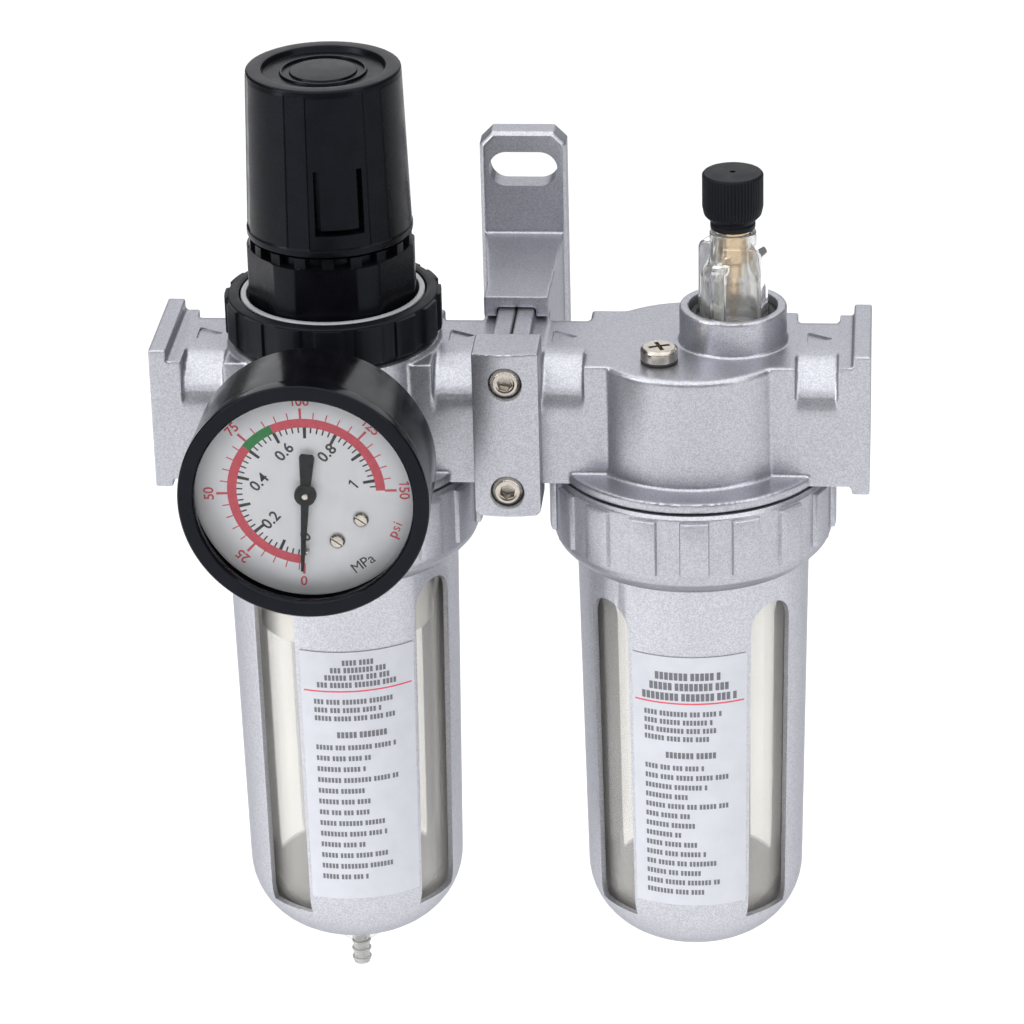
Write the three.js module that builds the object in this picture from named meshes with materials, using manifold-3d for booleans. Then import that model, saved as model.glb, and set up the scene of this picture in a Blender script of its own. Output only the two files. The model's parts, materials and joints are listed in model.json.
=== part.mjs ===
// Filter regulator lubricator: a filter regulator (left) and an oil mist lubricator (right), clamped
// flange to flange between a front clamp and a wall bracket. Millimetres, +Z up, +Y towards the wall.
// The origin lies on the bracket's wall face, at the height of the port axis, on the seam between the bodies.
import * as THREE from "three";
import { mergeVertices } from "three/addons/utils/BufferGeometryUtils.js";
import Module from "manifold-3d";

const wasm = await Module();
wasm.setup();

// Driving dimensions. Heights are above the port axis and depths are behind it.
const WALL_DEPTH = 58;
const FILTER_X = -41.5;
const LUBE_X = 41.5;
const GAP = 0.3;
const BODY_HALF = 41.35;
const PORT_R = 10.5;
const PORT_DEPTH = 17;
const FLANGE = { thick: 4.1, halfY: 16, halfZ: 17.2 };
const COLLAR_WIDE = 3.3;
const NECK = { halfY: 16, top: 14.2, bottom: -15.3, frontR: 12, backR: 6 };
const BODY_TOP = NECK.top + 0.1;
const FLOW_MARK = { fromAxis: 29.5, back: -2.9, tip: 3.2, halfY: 3.6, y: 2, deep: 0.5 };
const BLOCK = { halfX: 24.2, front: -16, back: 18 };
const BARREL_R = 24.75;
const SKIRT = { r: 32, top: -12.8, bottom: -15.3 };
const SPIGOT = { r: 28.9, bore: 25.2, bottom: -30.1, roof: -20 };
const SEAM_BORE_R = 7.5;
const SCREW = { highZ: 12.8, lowZ: -14.1, shankR: 2, headR: 3.5, headLong: 4, boreR: 3.9, socketAcross: 3 };
const CLAMP = { halfX: 7.6, halfZ: 20.2, front: -24, bulge: 1.2, seat: 16.3, lip: 11, pocketX: 4.5,
  pocketZ: 17.5, legZ: 15.3 };
const BRACKET = { plateFront: 51.6, top: 46.1, plateLeft: -11.6, plateRight: 9.2, chamfer: 2.8,
  armLeft: -7.2, armRight: 7.7 };
const SLOT = { z: 36.8, long: 16.6, high: 8.6 };
const CHAMBER = { r: 17, floor: 2, collarR: 22.2, rim: 21.2 };
const VALVE_BORE = { r: 8, top: -4, seatR: 4.5 };
const NUT = { r: 25.2, bottom: 15.7, top: 26.5, lipR: 21.7, lipBottom: 23.6 };
const BONNET = { waistAcross: 36, waistR: 19.3, waistTop: 38.4, crownR: 18.9, crownTop: 41, tubeR: 15,
  boreR: 12.6, top: 73 };
const SILVER_RING = { outer: 21.4, inner: 19.9, top: 26.4 };
const KNOB = { rimR: 19.2, topR: 17.8, bottom: 41.5, top: 80.7, bore: 15.8, panels: 6, turn: 14.7 };
const KNOB_TAB = { bottom: 46.6, top: 61.5, halfDeg: 26, cut: 1.3, deep: 1 };
const SPRING = { r: 9.8, wire: 2, low: 24.6, high: 59.6, coils: 6 };
const GAUGE = { z: 1.6, bezelR: 28.1, openR: 24.4, front: -64.8, caseR: 27.5, back: -38, dial: -58.6 };
const NEEDLE = { long: 18.8, tail: 9.9, rootHalf: 1, tipHalf: 0.33, tailHalf: 1.7, thick: 0.5, hubR: 2.5,
  restDeg: 4.4 };
const DIAL_SCREW = { r: 1.75, inner: [13.65, 118.4], outer: [13.5, 151.2] };
const STOP_PIN = { r: 0.4, down: 13.9, aside: -0.1 };
const PINION = { r: 2, near: 4, far: 7, arborR: 0.9, sectorR: 9.6, apart: 12 };
const RING = { r: 33.6, top: -15.8, straight: -31, bottom: -36.5, lipR: 27.75, bore: 29.2 };
const BOWL = { r: 24.4, wall: 2.6, flangeR: 28.7, flangeTop: -30.4, flangeBottom: -32.2, bottom: -136.6,
  bend: 15 };
const GUARD = { topR: 27.3, lowR: 25.9, wall: 1.4, flangeR: 28.7, top: -32.5, flangeBottom: -34.2,
  bottom: -138.5, bend: 17.5 };
const WINDOW = { filterTop: -40.2, lubeTop: -43.2, bottom: -126, halfDeg: 12.75 };
const LABEL = { halfDeg: 30, top: -54.2, bottom: -120.7, thick: 0.15 };
const BOWL_TURN = { filter: 12, lube: 0 };
const DOME = { x: 51, y: 1.5, bossR: 12.4, bossTop: 22.9, boreR: 10.3, floor: 16 };
const SIPHON = { x: 52.5, y: -9.5, r: 2.3, boreR: 1.2, bottom: -128, top: 4 };
const PLUG = { x: 34.6, y: -12.4, headR: 4.3, threadR: 3, seat: 15, headHigh: 3.1, slotWide: 1 };
const SECTOR_LEAN = 28;
const DEFLECTOR = { r: 20.4, skirtBore: 19, hubBore: 11.9, top: -32, discLow: -38, bottom: -56 };
const ELEMENT = { inner: 7.5, outer: 12, bottom: -86, top: -38.4 };
const BAFFLE = { r: 12.6, bottom: -92.5, top: -86.4, studR: 2.4, studTop: -25 };
const BOWL_SEAL = { inner: 23.6, outer: 24.8, low: -25.1, high: -23.1, room: 0.3 };
const MOUTH = -20.6;
const RAD = Math.PI / 180;

const casting = () => metal(0xb9bcc2, 0.42, 0.75);

function metal(color, roughness, metalness) {
  return new THREE.MeshStandardMaterial({ color, roughness, metalness });
}

function plastic(color, roughness) {
  return metal(color, roughness, 0);
}

function clear(color, opacity) {
  return new THREE.MeshStandardMaterial({ color, opacity, transparent: true, roughness: 0.12, metalness: 0 });
}

// A closed three.js geometry as a manifold solid.
function solid(geometry) {
  const bare = geometry.clone();
  bare.deleteAttribute("normal");
  bare.deleteAttribute("uv");
  const merged = mergeVertices(bare, 1e-4);
  const vertProperties = new Float32Array(merged.attributes.position.array);
  const triVerts = new Uint32Array(merged.index.array);
  return new wasm.Manifold(new wasm.Mesh({ numProp: 3, vertProperties, triVerts }));
}

// A manifold solid as a named mesh.
function mesh(name, made, material) {
  const got = made.getMesh();
  const geometry = new THREE.BufferGeometry();
  geometry.setAttribute("position", new THREE.BufferAttribute(new Float32Array(got.vertProperties), 3));
  geometry.setIndex(new THREE.BufferAttribute(new Uint32Array(got.triVerts), 1));
  const flat = geometry.toNonIndexed();
  flat.computeVertexNormals();
  const piece = new THREE.Mesh(flat, material);
  piece.name = name;
  return piece;
}

function join(first, ...others) {
  return others.reduce((sum, other) => sum.add(other), first);
}

function cut(first, ...others) {
  return others.reduce((rest, other) => rest.subtract(other), first);
}

// A box between two corners.
function box(x0, x1, y0, y1, z0, z1) {
  const shape = new THREE.BoxGeometry(x1 - x0, y1 - y0, z1 - z0);
  return solid(shape.translate((x0 + x1) / 2, (y0 + y1) / 2, (z0 + z1) / 2));
}

// A round bar along an axis, from a to b on that axis, through the two other coordinates in XYZ order.
function bar(axis, r, u, v, a, b, sides = 18) {
  const shape = new THREE.CylinderGeometry(r, r, b - a, sides);
  const middle = (a + b) / 2;
  if (axis === "x") return solid(shape.rotateZ(-Math.PI / 2).translate(middle, u, v));
  if (axis === "y") return solid(shape.translate(u, middle, v));
  return solid(shape.rotateX(Math.PI / 2).translate(u, v, middle));
}

// A turned solid about a vertical axis. The profile holds [radius, height] from the bottom up, outside last.
function turned(profile, x, y, sides = 24) {
  const points = profile.map(([r, z]) => new THREE.Vector2(r, z));
  const shape = new THREE.LatheGeometry(points, sides).rotateX(Math.PI / 2);
  return facingOut(shape).translate([x, y, 0]);
}

// A turned solid about an axis along Y: the profile holds [radius, depth].
function turnedY(profile, x, z, sides = 24) {
  const points = profile.map(([r, y]) => new THREE.Vector2(r, y));
  return facingOut(new THREE.LatheGeometry(points, sides)).translate([x, 0, z]);
}

// A lathe whose profile runs the other way round comes out inside out, so its triangles are turned over.
function facingOut(shape) {
  const made = solid(shape);
  if (made.volume() > 0) return made;
  const index = shape.index.array;
  for (let i = 0; i < index.length; i += 3) {
    const kept = index[i];
    index[i] = index[i + 1];
    index[i + 1] = kept;
  }
  return solid(shape);
}

// A closed ring profile: inner and outer radius, low and high.
function tube(inner, outer, low, high, x, y, sides = 24) {
  return turned([[inner, low], [outer, low], [outer, high], [inner, high], [inner, low]], x, y, sides);
}

function tubeY(inner, outer, near, far, x, z, sides = 24) {
  return turnedY([[inner, near], [outer, near], [outer, far], [inner, far], [inner, near]], x, z, sides);
}

// An outline extruded along +Z from low to high.
function slab(points, low, high) {
  const shape = new THREE.Shape(points.map(([x, y]) => new THREE.Vector2(x, y)));
  const made = new THREE.ExtrudeGeometry(shape, { depth: high - low, bevelEnabled: false });
  return solid(made.translate(0, 0, low));
}

// A regular prism about a vertical axis, with flats across the given size.
function prism(sides, across, low, high, turnDeg = 0) {
  const r = across / 2 / Math.cos(Math.PI / sides);
  const shape = new THREE.CylinderGeometry(r, r, high - low, sides);
  shape.rotateY(Math.PI / sides + turnDeg * RAD).rotateX(Math.PI / 2);
  return solid(shape.translate(0, 0, (low + high) / 2));
}

// Blocks around a ring, each spanning an angle, between two radii, used as pads, ribs and windows.
function sectors(count, spanDeg, inner, outer, low, high, startDeg) {
  const made = [];
  for (let i = 0; i < count; i++) {
    const middle = (startDeg + (i * 360) / count) * RAD;
    const shape = new THREE.Shape();
    shape.absarc(0, 0, outer, middle - (spanDeg / 2) * RAD, middle + (spanDeg / 2) * RAD, false);
    shape.absarc(0, 0, inner, middle + (spanDeg / 2) * RAD, middle - (spanDeg / 2) * RAD, true);
    const options = { depth: high - low, bevelEnabled: false, curveSegments: 2 };
    made.push(solid(new THREE.ExtrudeGeometry(shape, options).translate(0, 0, low)));
  }
  return made;
}

// A helical spring with closed wire ends, upright about the origin.
class Helix extends THREE.Curve {
  constructor(r, low, high, coils) {
    super();
    Object.assign(this, { r, low, high, coils });
  }

  getPoint(t, target = new THREE.Vector3()) {
    const angle = t * this.coils * 2 * Math.PI;
    return target.set(this.r * Math.cos(angle), this.r * Math.sin(angle),
      this.low + t * (this.high - this.low));
  }
}

function spring(r, wire, low, high, coils, stepsPerCoil = 9) {
  const ring = new THREE.Shape();
  ring.absarc(0, 0, wire / 2, 0, 2 * Math.PI, false);
  const path = new Helix(r, low + wire / 2, high - wire / 2, coils);
  const options = { steps: coils * stepsPerCoil, curveSegments: 3, bevelEnabled: false, extrudePath: path };
  return solid(new THREE.ExtrudeGeometry(ring, options));
}

// A rectangle in the YZ plane with its upper corners rounded, extruded along X.
function neckBar(x0, x1) {
  const shape = new THREE.Shape();
  shape.moveTo(-NECK.halfY, NECK.bottom);
  shape.lineTo(NECK.halfY, NECK.bottom);
  shape.absarc(NECK.halfY - NECK.backR, NECK.top - NECK.backR, NECK.backR, 0, Math.PI / 2, false);
  shape.absarc(-NECK.halfY + NECK.frontR, NECK.top - NECK.frontR, NECK.frontR, Math.PI / 2, Math.PI, false);
  const options = { depth: x1 - x0, bevelEnabled: false, curveSegments: 6 };
  const made = new THREE.ExtrudeGeometry(shape, options);
  return solid(made.rotateX(Math.PI / 2).rotateZ(Math.PI / 2).translate(x0, 0, 0));
}

// The cast outside that both bodies share, between two flanges, with the threaded spigot for the bowl ring.
function bodyBlank(x) {
  const end = BODY_HALF;
  const flangeIn = end - FLANGE.thick;
  const collarIn = flangeIn - COLLAR_WIDE;
  const plates = [-1, 1].flatMap((side) => {
    const [a, b] = [x + side * end, x + side * flangeIn].sort((p, q) => p - q);
    const [c, d] = [x + side * (flangeIn + 1), x + side * collarIn].sort((p, q) => p - q);
    return [
      box(a, b, -FLANGE.halfY, FLANGE.halfY, -FLANGE.halfZ, FLANGE.halfZ),
      box(c, d, -NECK.halfY, NECK.halfY, NECK.bottom, NECK.top + 0.2),
    ];
  });
  return join(
    neckBar(x - collarIn - 1, x + collarIn + 1),
    ...plates,
    box(x - BLOCK.halfX, x + BLOCK.halfX, BLOCK.front, BLOCK.back, NECK.bottom, BODY_TOP),
    turned([[0, SKIRT.bottom], [SKIRT.r, SKIRT.bottom], [SKIRT.r, SKIRT.top], [BARREL_R, SKIRT.top + 1.5],
      [BARREL_R, BODY_TOP - 1.5], [BARREL_R - 1.5, BODY_TOP], [0, BODY_TOP]], x, 0),
    bar("z", SPIGOT.r, x, 0, SPIGOT.bottom, SKIRT.bottom + 1, 24),
  );
}

// Half-round clearances for the two clamp screws in the flanges that meet at the seam.
function screwClearance() {
  return [SCREW.highZ, SCREW.lowZ].map((z) => bar("y", SCREW.shankR + GAP, 0, z, -30, 30, 16));
}

// Sunk triangles on the necks' tops, which point the way the air flows.
function flowMarks(bodyX) {
  const { fromAxis, back, tip, halfY, y, deep } = FLOW_MARK;
  return [bodyX - fromAxis, bodyX + fromAxis].map((x) => {
    const outline = [[x + back, y - halfY], [x + tip, y], [x + back, y + halfY]];
    return slab(outline, NECK.top - deep, NECK.top + 1);
  });
}

function filterBody() {
  const x = FILTER_X;
  const outside = join(
    bodyBlank(x),
    bar("z", BARREL_R - 0.2, x, 0, 10, 15.3, 24),
    bar("z", CHAMBER.collarR, x, 0, 10, CHAMBER.rim, 24),
  );
  const inlet = join(
    bar("x", PORT_R, 0, 0, x - BODY_HALF - 1, x - BODY_HALF + PORT_DEPTH),
    bar("x", 6, 0, 0, x - BODY_HALF, x - 17.5, 20),
    bar("z", 5, x - 17.5, 0, SPIGOT.roof - 1, 0, 20),
  );
  const regulator = join(
    bar("z", CHAMBER.r, x, 0, CHAMBER.floor, CHAMBER.rim + 1, 20),
    bar("z", VALVE_BORE.seatR, x, 0, VALVE_BORE.top - 1, CHAMBER.floor + 1, 24),
    bar("z", VALVE_BORE.r, x, 0, -35, VALVE_BORE.top, 20),
  );
  const outlet = bar("x", SEAM_BORE_R, 0, 0, x + 12, 1);
  const gaugePort = join(
    bar("y", 5, x, GAUGE.z, -26, -17.3, 24),
    bar("y", 1.5, x, GAUGE.z + 2, -20, -10, 12),
  );
  const bowlSeat = cut(
    bar("z", SPIGOT.bore, x, 0, SPIGOT.bottom - 1, SPIGOT.roof, 24),
    bar("z", 11, x, 0, SPIGOT.bottom + 0.5, SPIGOT.roof + 1, 22),
  );
  return cut(outside, inlet, regulator, outlet, gaugePort, bowlSeat, ...screwClearance(), ...flowMarks(x));
}

function lubeBody() {
  const x = LUBE_X;
  const outside = join(
    bodyBlank(x),
    bar("z", DOME.bossR, DOME.x, DOME.y, 10, DOME.bossTop, 20),
  );
  const through = join(
    bar("x", SEAM_BORE_R, 0, 0, -1, x - 20),
    bar("x", 6.5, 0, 0, x - 24, x + 26, 24),
    bar("x", PORT_R, 0, 0, x + BODY_HALF - PORT_DEPTH, x + BODY_HALF + 1),
  );
  const drip = join(
    bar("z", DOME.boreR, DOME.x, DOME.y, DOME.floor, DOME.bossTop + 1, 24),
    bar("z", 1.2, DOME.x, DOME.y + 7, SPIGOT.roof - 1, DOME.floor + 1, 12),
    bar("z", SIPHON.r + GAP, SIPHON.x, SIPHON.y, SPIGOT.roof - 1, SIPHON.top + 4, 14),
  );
  const filler = bar("z", PLUG.threadR + 0.25, PLUG.x, PLUG.y, SPIGOT.roof - 1, NECK.top + 1, 20);
  const bowlSeat = bar("z", SPIGOT.bore, x, 0, SPIGOT.bottom - 1, SPIGOT.roof, 24);
  return cut(outside, through, drip, filler, bowlSeat, ...screwClearance(), ...flowMarks(x));
}

// Seal ring around the air passage, in the seam between the two bodies.
function seamSeal() {
  const half = 0.1;
  const shape = [[8.2, -half], [10.2, -half], [10.2, half], [8.2, half], [8.2, -half]];
  const ring = new THREE.LatheGeometry(shape.map(([r, h]) => new THREE.Vector2(r, h)), 22);
  return facingOut(ring.rotateZ(Math.PI / 2));
}

// A channel that straddles the pair of flanges. Its lips reach towards the other clamp half.
function clampChannel(seat, lip, outside) {
  const [y0, y1] = [outside, lip].sort((p, q) => p - q);
  const [s0, s1] = [seat, lip * 0.9].sort((p, q) => p - q);
  return cut(
    box(-CLAMP.halfX, CLAMP.halfX, y0, y1, -CLAMP.halfZ, CLAMP.halfZ),
    box(-CLAMP.pocketX, CLAMP.pocketX, s0, s1, -CLAMP.pocketZ, CLAMP.pocketZ),
    box(-CLAMP.halfX - 1, CLAMP.halfX + 1, s0, s1, -CLAMP.legZ, CLAMP.legZ),
  );
}

function frontClamp() {
  const crownR = (CLAMP.halfX ** 2 + CLAMP.bulge ** 2) / (2 * CLAMP.bulge);
  const crown = bar("z", crownR, 0, CLAMP.front + crownR, -CLAMP.halfZ - 1, CLAMP.halfZ + 1, 90);
  const bores = [SCREW.highZ, SCREW.lowZ].flatMap((z) => [
    bar("y", SCREW.boreR, 0, z, CLAMP.front - 1, CLAMP.front + SCREW.headLong + 0.9, 20),
    bar("y", SCREW.shankR + GAP, 0, z, CLAMP.front, 0, 16),
  ]);
  const shell = clampChannel(-CLAMP.seat, -CLAMP.lip, CLAMP.front).intersect(crown);
  return cut(shell, ...bores);
}

// Wall bracket: the rear clamp half, an arm that widens towards the wall, and a plate with a screw slot.
function wallBracket() {
  const jaw = clampChannel(CLAMP.seat, CLAMP.lip, 22);
  const { plateFront, plateLeft: left, plateRight: right, top, chamfer, armLeft, armRight } = BRACKET;
  const armOutline = [[armLeft, 20], [armRight, 20], [right - 0.3, plateFront + 1], [left, plateFront + 1]];
  const arm = slab(armOutline, -CLAMP.halfZ, CLAMP.halfZ);
  const outline = [[left, -CLAMP.halfZ], [right, -CLAMP.halfZ], [right, top - chamfer],
    [right - chamfer, top],
    [left + chamfer, top], [left, top - chamfer]];
  const plate = slab(outline, 0, WALL_DEPTH - plateFront).rotate([90, 0, 0]).translate([0, WALL_DEPTH, 0]);
  return cut(join(jaw, arm, plate), slotCut(left, right), ...threads());

  function slotCut(a, b) {
    const middle = (a + b) / 2;
    const reach = (SLOT.long - SLOT.high) / 2;
    const y0 = BRACKET.plateFront - 1;
    const y1 = WALL_DEPTH + 1;
    return join(
      box(middle - reach, middle + reach, y0, y1, SLOT.z - SLOT.high / 2, SLOT.z + SLOT.high / 2),
      bar("y", SLOT.high / 2, middle - reach, SLOT.z, y0, y1, 24),
      bar("y", SLOT.high / 2, middle + reach, SLOT.z, y0, y1, 24),
    );
  }

  function threads() {
    return [SCREW.highZ, SCREW.lowZ].map((z) => bar("y", SCREW.shankR + 0.1, 0, z, 10, 26, 16));
  }
}

// Socket head cap screw, its head towards the front.
function clampScrew(z) {
  const face = CLAMP.front + 0.6;
  const socket = prism(6, SCREW.socketAcross, -2.4, 1).rotate([90, 0, 0]).translate([0, face, z]);
  return cut(
    join(bar("y", SCREW.headR, 0, z, face, face + SCREW.headLong, 20),
      bar("y", SCREW.shankR, 0, z, face + 3, 25, 16)),
    socket,
  );
}

// Black ring nut that holds the bonnet on the body's collar.
function bonnetNut() {
  const thread = CHAMBER.collarR + GAP;
  return turned([[thread, NUT.bottom], [NUT.r - 0.8, NUT.bottom], [NUT.r, NUT.bottom + 2],
    [NUT.r, NUT.top - 0.6],
    [NUT.r - 0.6, NUT.top], [NUT.lipR, NUT.top], [NUT.lipR, NUT.lipBottom], [thread, NUT.lipBottom],
    [thread, NUT.bottom]], FILTER_X, 0);
}

// Bonnet: flange under the nut, waist with six flats, round crown and the spring tube inside the knob.
function bonnet() {
  const { waistAcross, waistR, waistTop, crownR, crownTop, tubeR, boreR, top } = BONNET;
  const hexagon = prism(6, waistAcross, 23.2, waistTop, 3);
  const waist = hexagon.intersect(bar("z", waistR, 0, 0, 23, waistTop, 30));
  const shell = join(
    bar("z", 22.2, 0, 0, 22.3, 23.3, 24),
    waist,
    bar("z", crownR, 0, 0, waistTop - 0.5, crownTop, 24),
    bar("z", tubeR, 0, 0, crownTop - 1, top, 24),
  );
  const inside = turned([[0, 20], [17, 20], [17, 24.2], [boreR, 25.5], [boreR, top - 3.5], [0, top - 3.5]],
    0, 0, 24);
  return cut(shell, inside, bar("z", 4.3, 0, 0, top - 5, top + 1, 20)).translate([FILTER_X, 0, 0]);
}

function silverRing() {
  return tube(SILVER_RING.inner, SILVER_RING.outer, NUT.lipBottom, SILVER_RING.top, FILTER_X, 0);
}

// Pull-up adjusting knob: six broad panels between narrow flats, a spring tab and a recessed top.
function knob() {
  const { rimR, topR, bottom, top, bore, panels, turn } = KNOB;
  const shell = turned([[bore, bottom], [rimR, bottom], [rimR, bottom + 1.8], [rimR - 0.3, bottom + 2],
    [topR, top - 1.6],
    [topR - 1.6, top], [14, top], [13.6, top - 1.2], [0, top - 1.2], [0, 77.4], [bore, 77.4],
      [bore, bottom]], 0, 0, 22);
  const coneR = (z) => rimR - 0.3 + ((z - bottom - 2) / (top - bottom - 3.6)) * (topR - rimR + 0.3);
  const flats = [];
  for (let i = 0; i < panels; i++) {
    const angle = turn - 90 + (i + 0.5) * (360 / panels);
    const low = bottom + 2.2;
    const high = top - 2.4;
    const away = new THREE.BoxGeometry(4, 4.6, high - low);
    const lean = Math.atan((coneR(low) - coneR(high)) / (high - low));
    away.rotateY(-lean).translate(coneR((low + high) / 2) + 1.72, 0, (low + high) / 2).rotateZ(angle * RAD);
    flats.push(solid(away));
  }
  const { bottom: tabLow, top: tabHigh, halfDeg, cut: wide, deep } = KNOB_TAB;
  const inner = coneR(tabHigh) - deep;
  const middle = turn - 90;
  const sideDeg = (wide / inner) / RAD;
  const tab = [
    ...sectors(1, 2 * halfDeg * 0.7, inner, rimR + 1, tabLow, tabLow + wide, middle),
    ...sectors(1, sideDeg, inner, rimR + 1, tabLow, tabHigh, middle - halfDeg * 0.7 + sideDeg / 2),
    ...sectors(1, sideDeg, inner, rimR + 1, tabLow, tabHigh, middle + halfDeg * 0.7 - sideDeg / 2),
  ];
  const disc = tube(7.4, 9.7, top - 1.4, top - 0.8, 0, 0, 24);
  const hub = cut(bar("z", 8, 0, 0, BONNET.top + 0.8, 78, 20), prism(6, 9.4, BONNET.top, 76.6));
  return join(cut(shell, ...flats, ...tab), disc, hub).translate([FILTER_X, 0, 0]);
}

// Adjusting screw: hexagonal head in the knob, thrust collar under the bonnet's top, threaded shank below.
function adjustingScrew() {
  const head = prism(6, 8.8, BONNET.top + 0.3, 76.2);
  const under = BONNET.top - 3.5;
  return join(head, bar("z", 4, 0, 0, 34, BONNET.top + 1, 24),
    bar("z", 8, 0, 0, under - 2.6, under - GAP, 20))
    .translate([FILTER_X, 0, 0]);
}

function springSeat() {
  const disc = turned([[4.15, 60], [12.2, 60], [12.2, 62.5], [7, 62.5], [7, 66], [4.15, 66], [4.15, 60]],
    0, 0, 24);
  return disc.translate([FILTER_X, 0, 0]);
}

function mainSpring() {
  return spring(SPRING.r, SPRING.wire, SPRING.low, SPRING.high, SPRING.coils).translate([FILTER_X, 0, 0]);
}

// Rolling diaphragm: a clamped rim and a dished centre that follows the plate.
function diaphragm() {
  return turned([[0, 18.6], [12.5, 18.6], [15, 20.4], [16, 21.35], [21.8, 21.35], [21.8, 22.1], [15.6, 22.1],
    [14.4, 21], [12, 19.3], [0, 19.3]], FILTER_X, 0, 24);
}

function diaphragmPlate() {
  return turned([[0, 19.6], [11.6, 19.6], [11.6, 24.3], [0, 24.3]], FILTER_X, 0, 22);
}

// Valve plug with its push rod, under the diaphragm.
function valvePlug() {
  return turned([[0, -11.5], [2.6, -11.5], [2.6, -8], [6.6, -8], [6.6, -5.4], [5.6, VALVE_BORE.top - GAP],
    [1.6, VALVE_BORE.top - GAP], [1.6, 18.3], [0, 18.3]], FILTER_X, 0, 24);
}

function valveGuide() {
  return turned([[0, -24.6], [7.6, -24.6], [7.6, -14], [3, -14], [3, -22.4], [0, -22.4]], FILTER_X, 0, 20);
}

function valveSpring() {
  return spring(4.4, 1, -13.8, -8.3, 3).translate([FILTER_X, 0, 0]);
}

// Gauge case with its back wall; the bezel carries the front rim.
function gaugeCase() {
  const { caseR, back, front } = GAUGE;
  const wall = caseR - 1.6;
  return cut(
    turnedY([[0, back], [caseR - 2, back], [caseR, back - 2], [caseR, front + 4.2], [wall, front + 4.2],
      [wall, back - 2], [0, back - 2]], FILTER_X, GAUGE.z),
    bar("y", 3.6, FILTER_X, GAUGE.z, back - 4, back + 1, 16),
  );
}

function gaugeBezel() {
  const { bezelR, openR, front } = GAUGE;
  return turnedY([[openR, front + 1.2], [openR + 1.3, front], [bezelR - 1, front], [bezelR, front + 1],
    [bezelR, front + 3.9], [openR + 1.8, front + 3.9], [openR + 1.8, front + 2], [openR, front + 2],
    [openR, front + 1.2]], FILTER_X, GAUGE.z);
}

function gaugeLens() {
  const { openR, front } = GAUGE;
  return bar("y", openR + 1.4, FILTER_X, GAUGE.z, front + 2.3, front + 3.3, 24);
}

function gaugeDial() {
  const { dial, caseR } = GAUGE;
  const disc = bar("y", caseR - 2, FILTER_X, GAUGE.z, dial, dial + 0.6, 24);
  return cut(disc, bar("y", PINION.arborR + GAP, FILTER_X, GAUGE.z, dial - 1, dial + 2, 12));
}

// A point on the dial, its angle counted clockwise from the top.
function onDial(r, deg) {
  return [FILTER_X + r * Math.sin(deg * RAD), GAUGE.z + r * Math.cos(deg * RAD)];
}

function dialScrew([r, deg]) {
  const [x, z] = onDial(r, deg);
  return bar("y", DIAL_SCREW.r, x, z, GAUGE.dial - 1, GAUGE.dial - 0.1, 16);
}

// The pin that the pointer rests against at zero.
function stopPin() {
  const { r, down, aside } = STOP_PIN;
  return bar("y", r, FILTER_X + aside, GAUGE.z - down, GAUGE.dial - 2.2, GAUGE.dial - 0.1, 10);
}

// Pointer, its hub and the arbor that carries the pinion behind the dial.
function gaugeNeedle() {
  const { long, tail, rootHalf, tipHalf, tailHalf, thick, hubR, restDeg } = NEEDLE;
  const { dial, z } = GAUGE;
  const y = dial - 2;
  const outline = [[-tailHalf, tail], [tailHalf, tail], [rootHalf, 0], [tipHalf, -long], [-tipHalf, -long],
    [-rootHalf, 0]];
  const blade = slab(outline, 0, thick).rotate([90, 0, 0]).rotate([0, restDeg, 0]);
  return join(
    blade.translate([FILTER_X, y + thick, z]),
    bar("y", hubR, FILTER_X, z, y - 0.7, y + 0.6, 24),
    bar("y", PINION.arborR, FILTER_X, z, y, dial + 9, 12),
    bar("y", PINION.r, FILTER_X, z, dial + PINION.near, dial + PINION.far, 24),
  );
}

// Toothed sector that drives the pinion, turning about a stud on the movement plate.
function gaugeSector() {
  const pivot = -PINION.apart;
  const [y0, y1] = [PINION.near + 0.2, PINION.far - 0.2];
  const arc = new THREE.Shape();
  arc.absarc(0, 0, PINION.sectorR, -0.75, 0.75, false);
  arc.lineTo(-1.6, 2.6);
  arc.lineTo(-1.6, -2.6);
  const blade = new THREE.ExtrudeGeometry(arc, { depth: y1 - y0, bevelEnabled: false, curveSegments: 10 });
  const placed = solid(blade).rotate([90, 0, 0]).rotate([0, SECTOR_LEAN - 90, 0]);
  return cut(placed.translate([FILTER_X, GAUGE.dial + y1, GAUGE.z + pivot]),
    bar("y", 1.3, FILTER_X, GAUGE.z + pivot, GAUGE.dial, GAUGE.dial + 9, 16));
}

function gaugeMovement() {
  const plate = GAUGE.dial + 9.6;
  return join(
    box(FILTER_X - 6, FILTER_X + 6, plate, plate + 1.6, GAUGE.z - 17, GAUGE.z + 5),
    bar("y", 1.1, FILTER_X, GAUGE.z - PINION.apart, GAUGE.dial + 3, plate + 0.5, 16),
    box(FILTER_X - 5, FILTER_X + 5, plate + 1, GAUGE.back - 2.4, GAUGE.z - 17, GAUGE.z - 10),
  );
}

// Bourdon tube: a flat tube bent to three quarters of a circle.
function bourdonTube() {
  const y = GAUGE.dial + 13;
  const ring = turnedY([[18.6, y - 3.5], [21.4, y - 3.5], [21.4, y + 3.5], [18.6, y + 3.5], [18.6, y - 3.5]],
    FILTER_X, GAUGE.z, 20);
  return cut(ring, box(FILTER_X - 30, FILTER_X - 0.5, y - 5, y + 5, GAUGE.z - 30, GAUGE.z));
}

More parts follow.
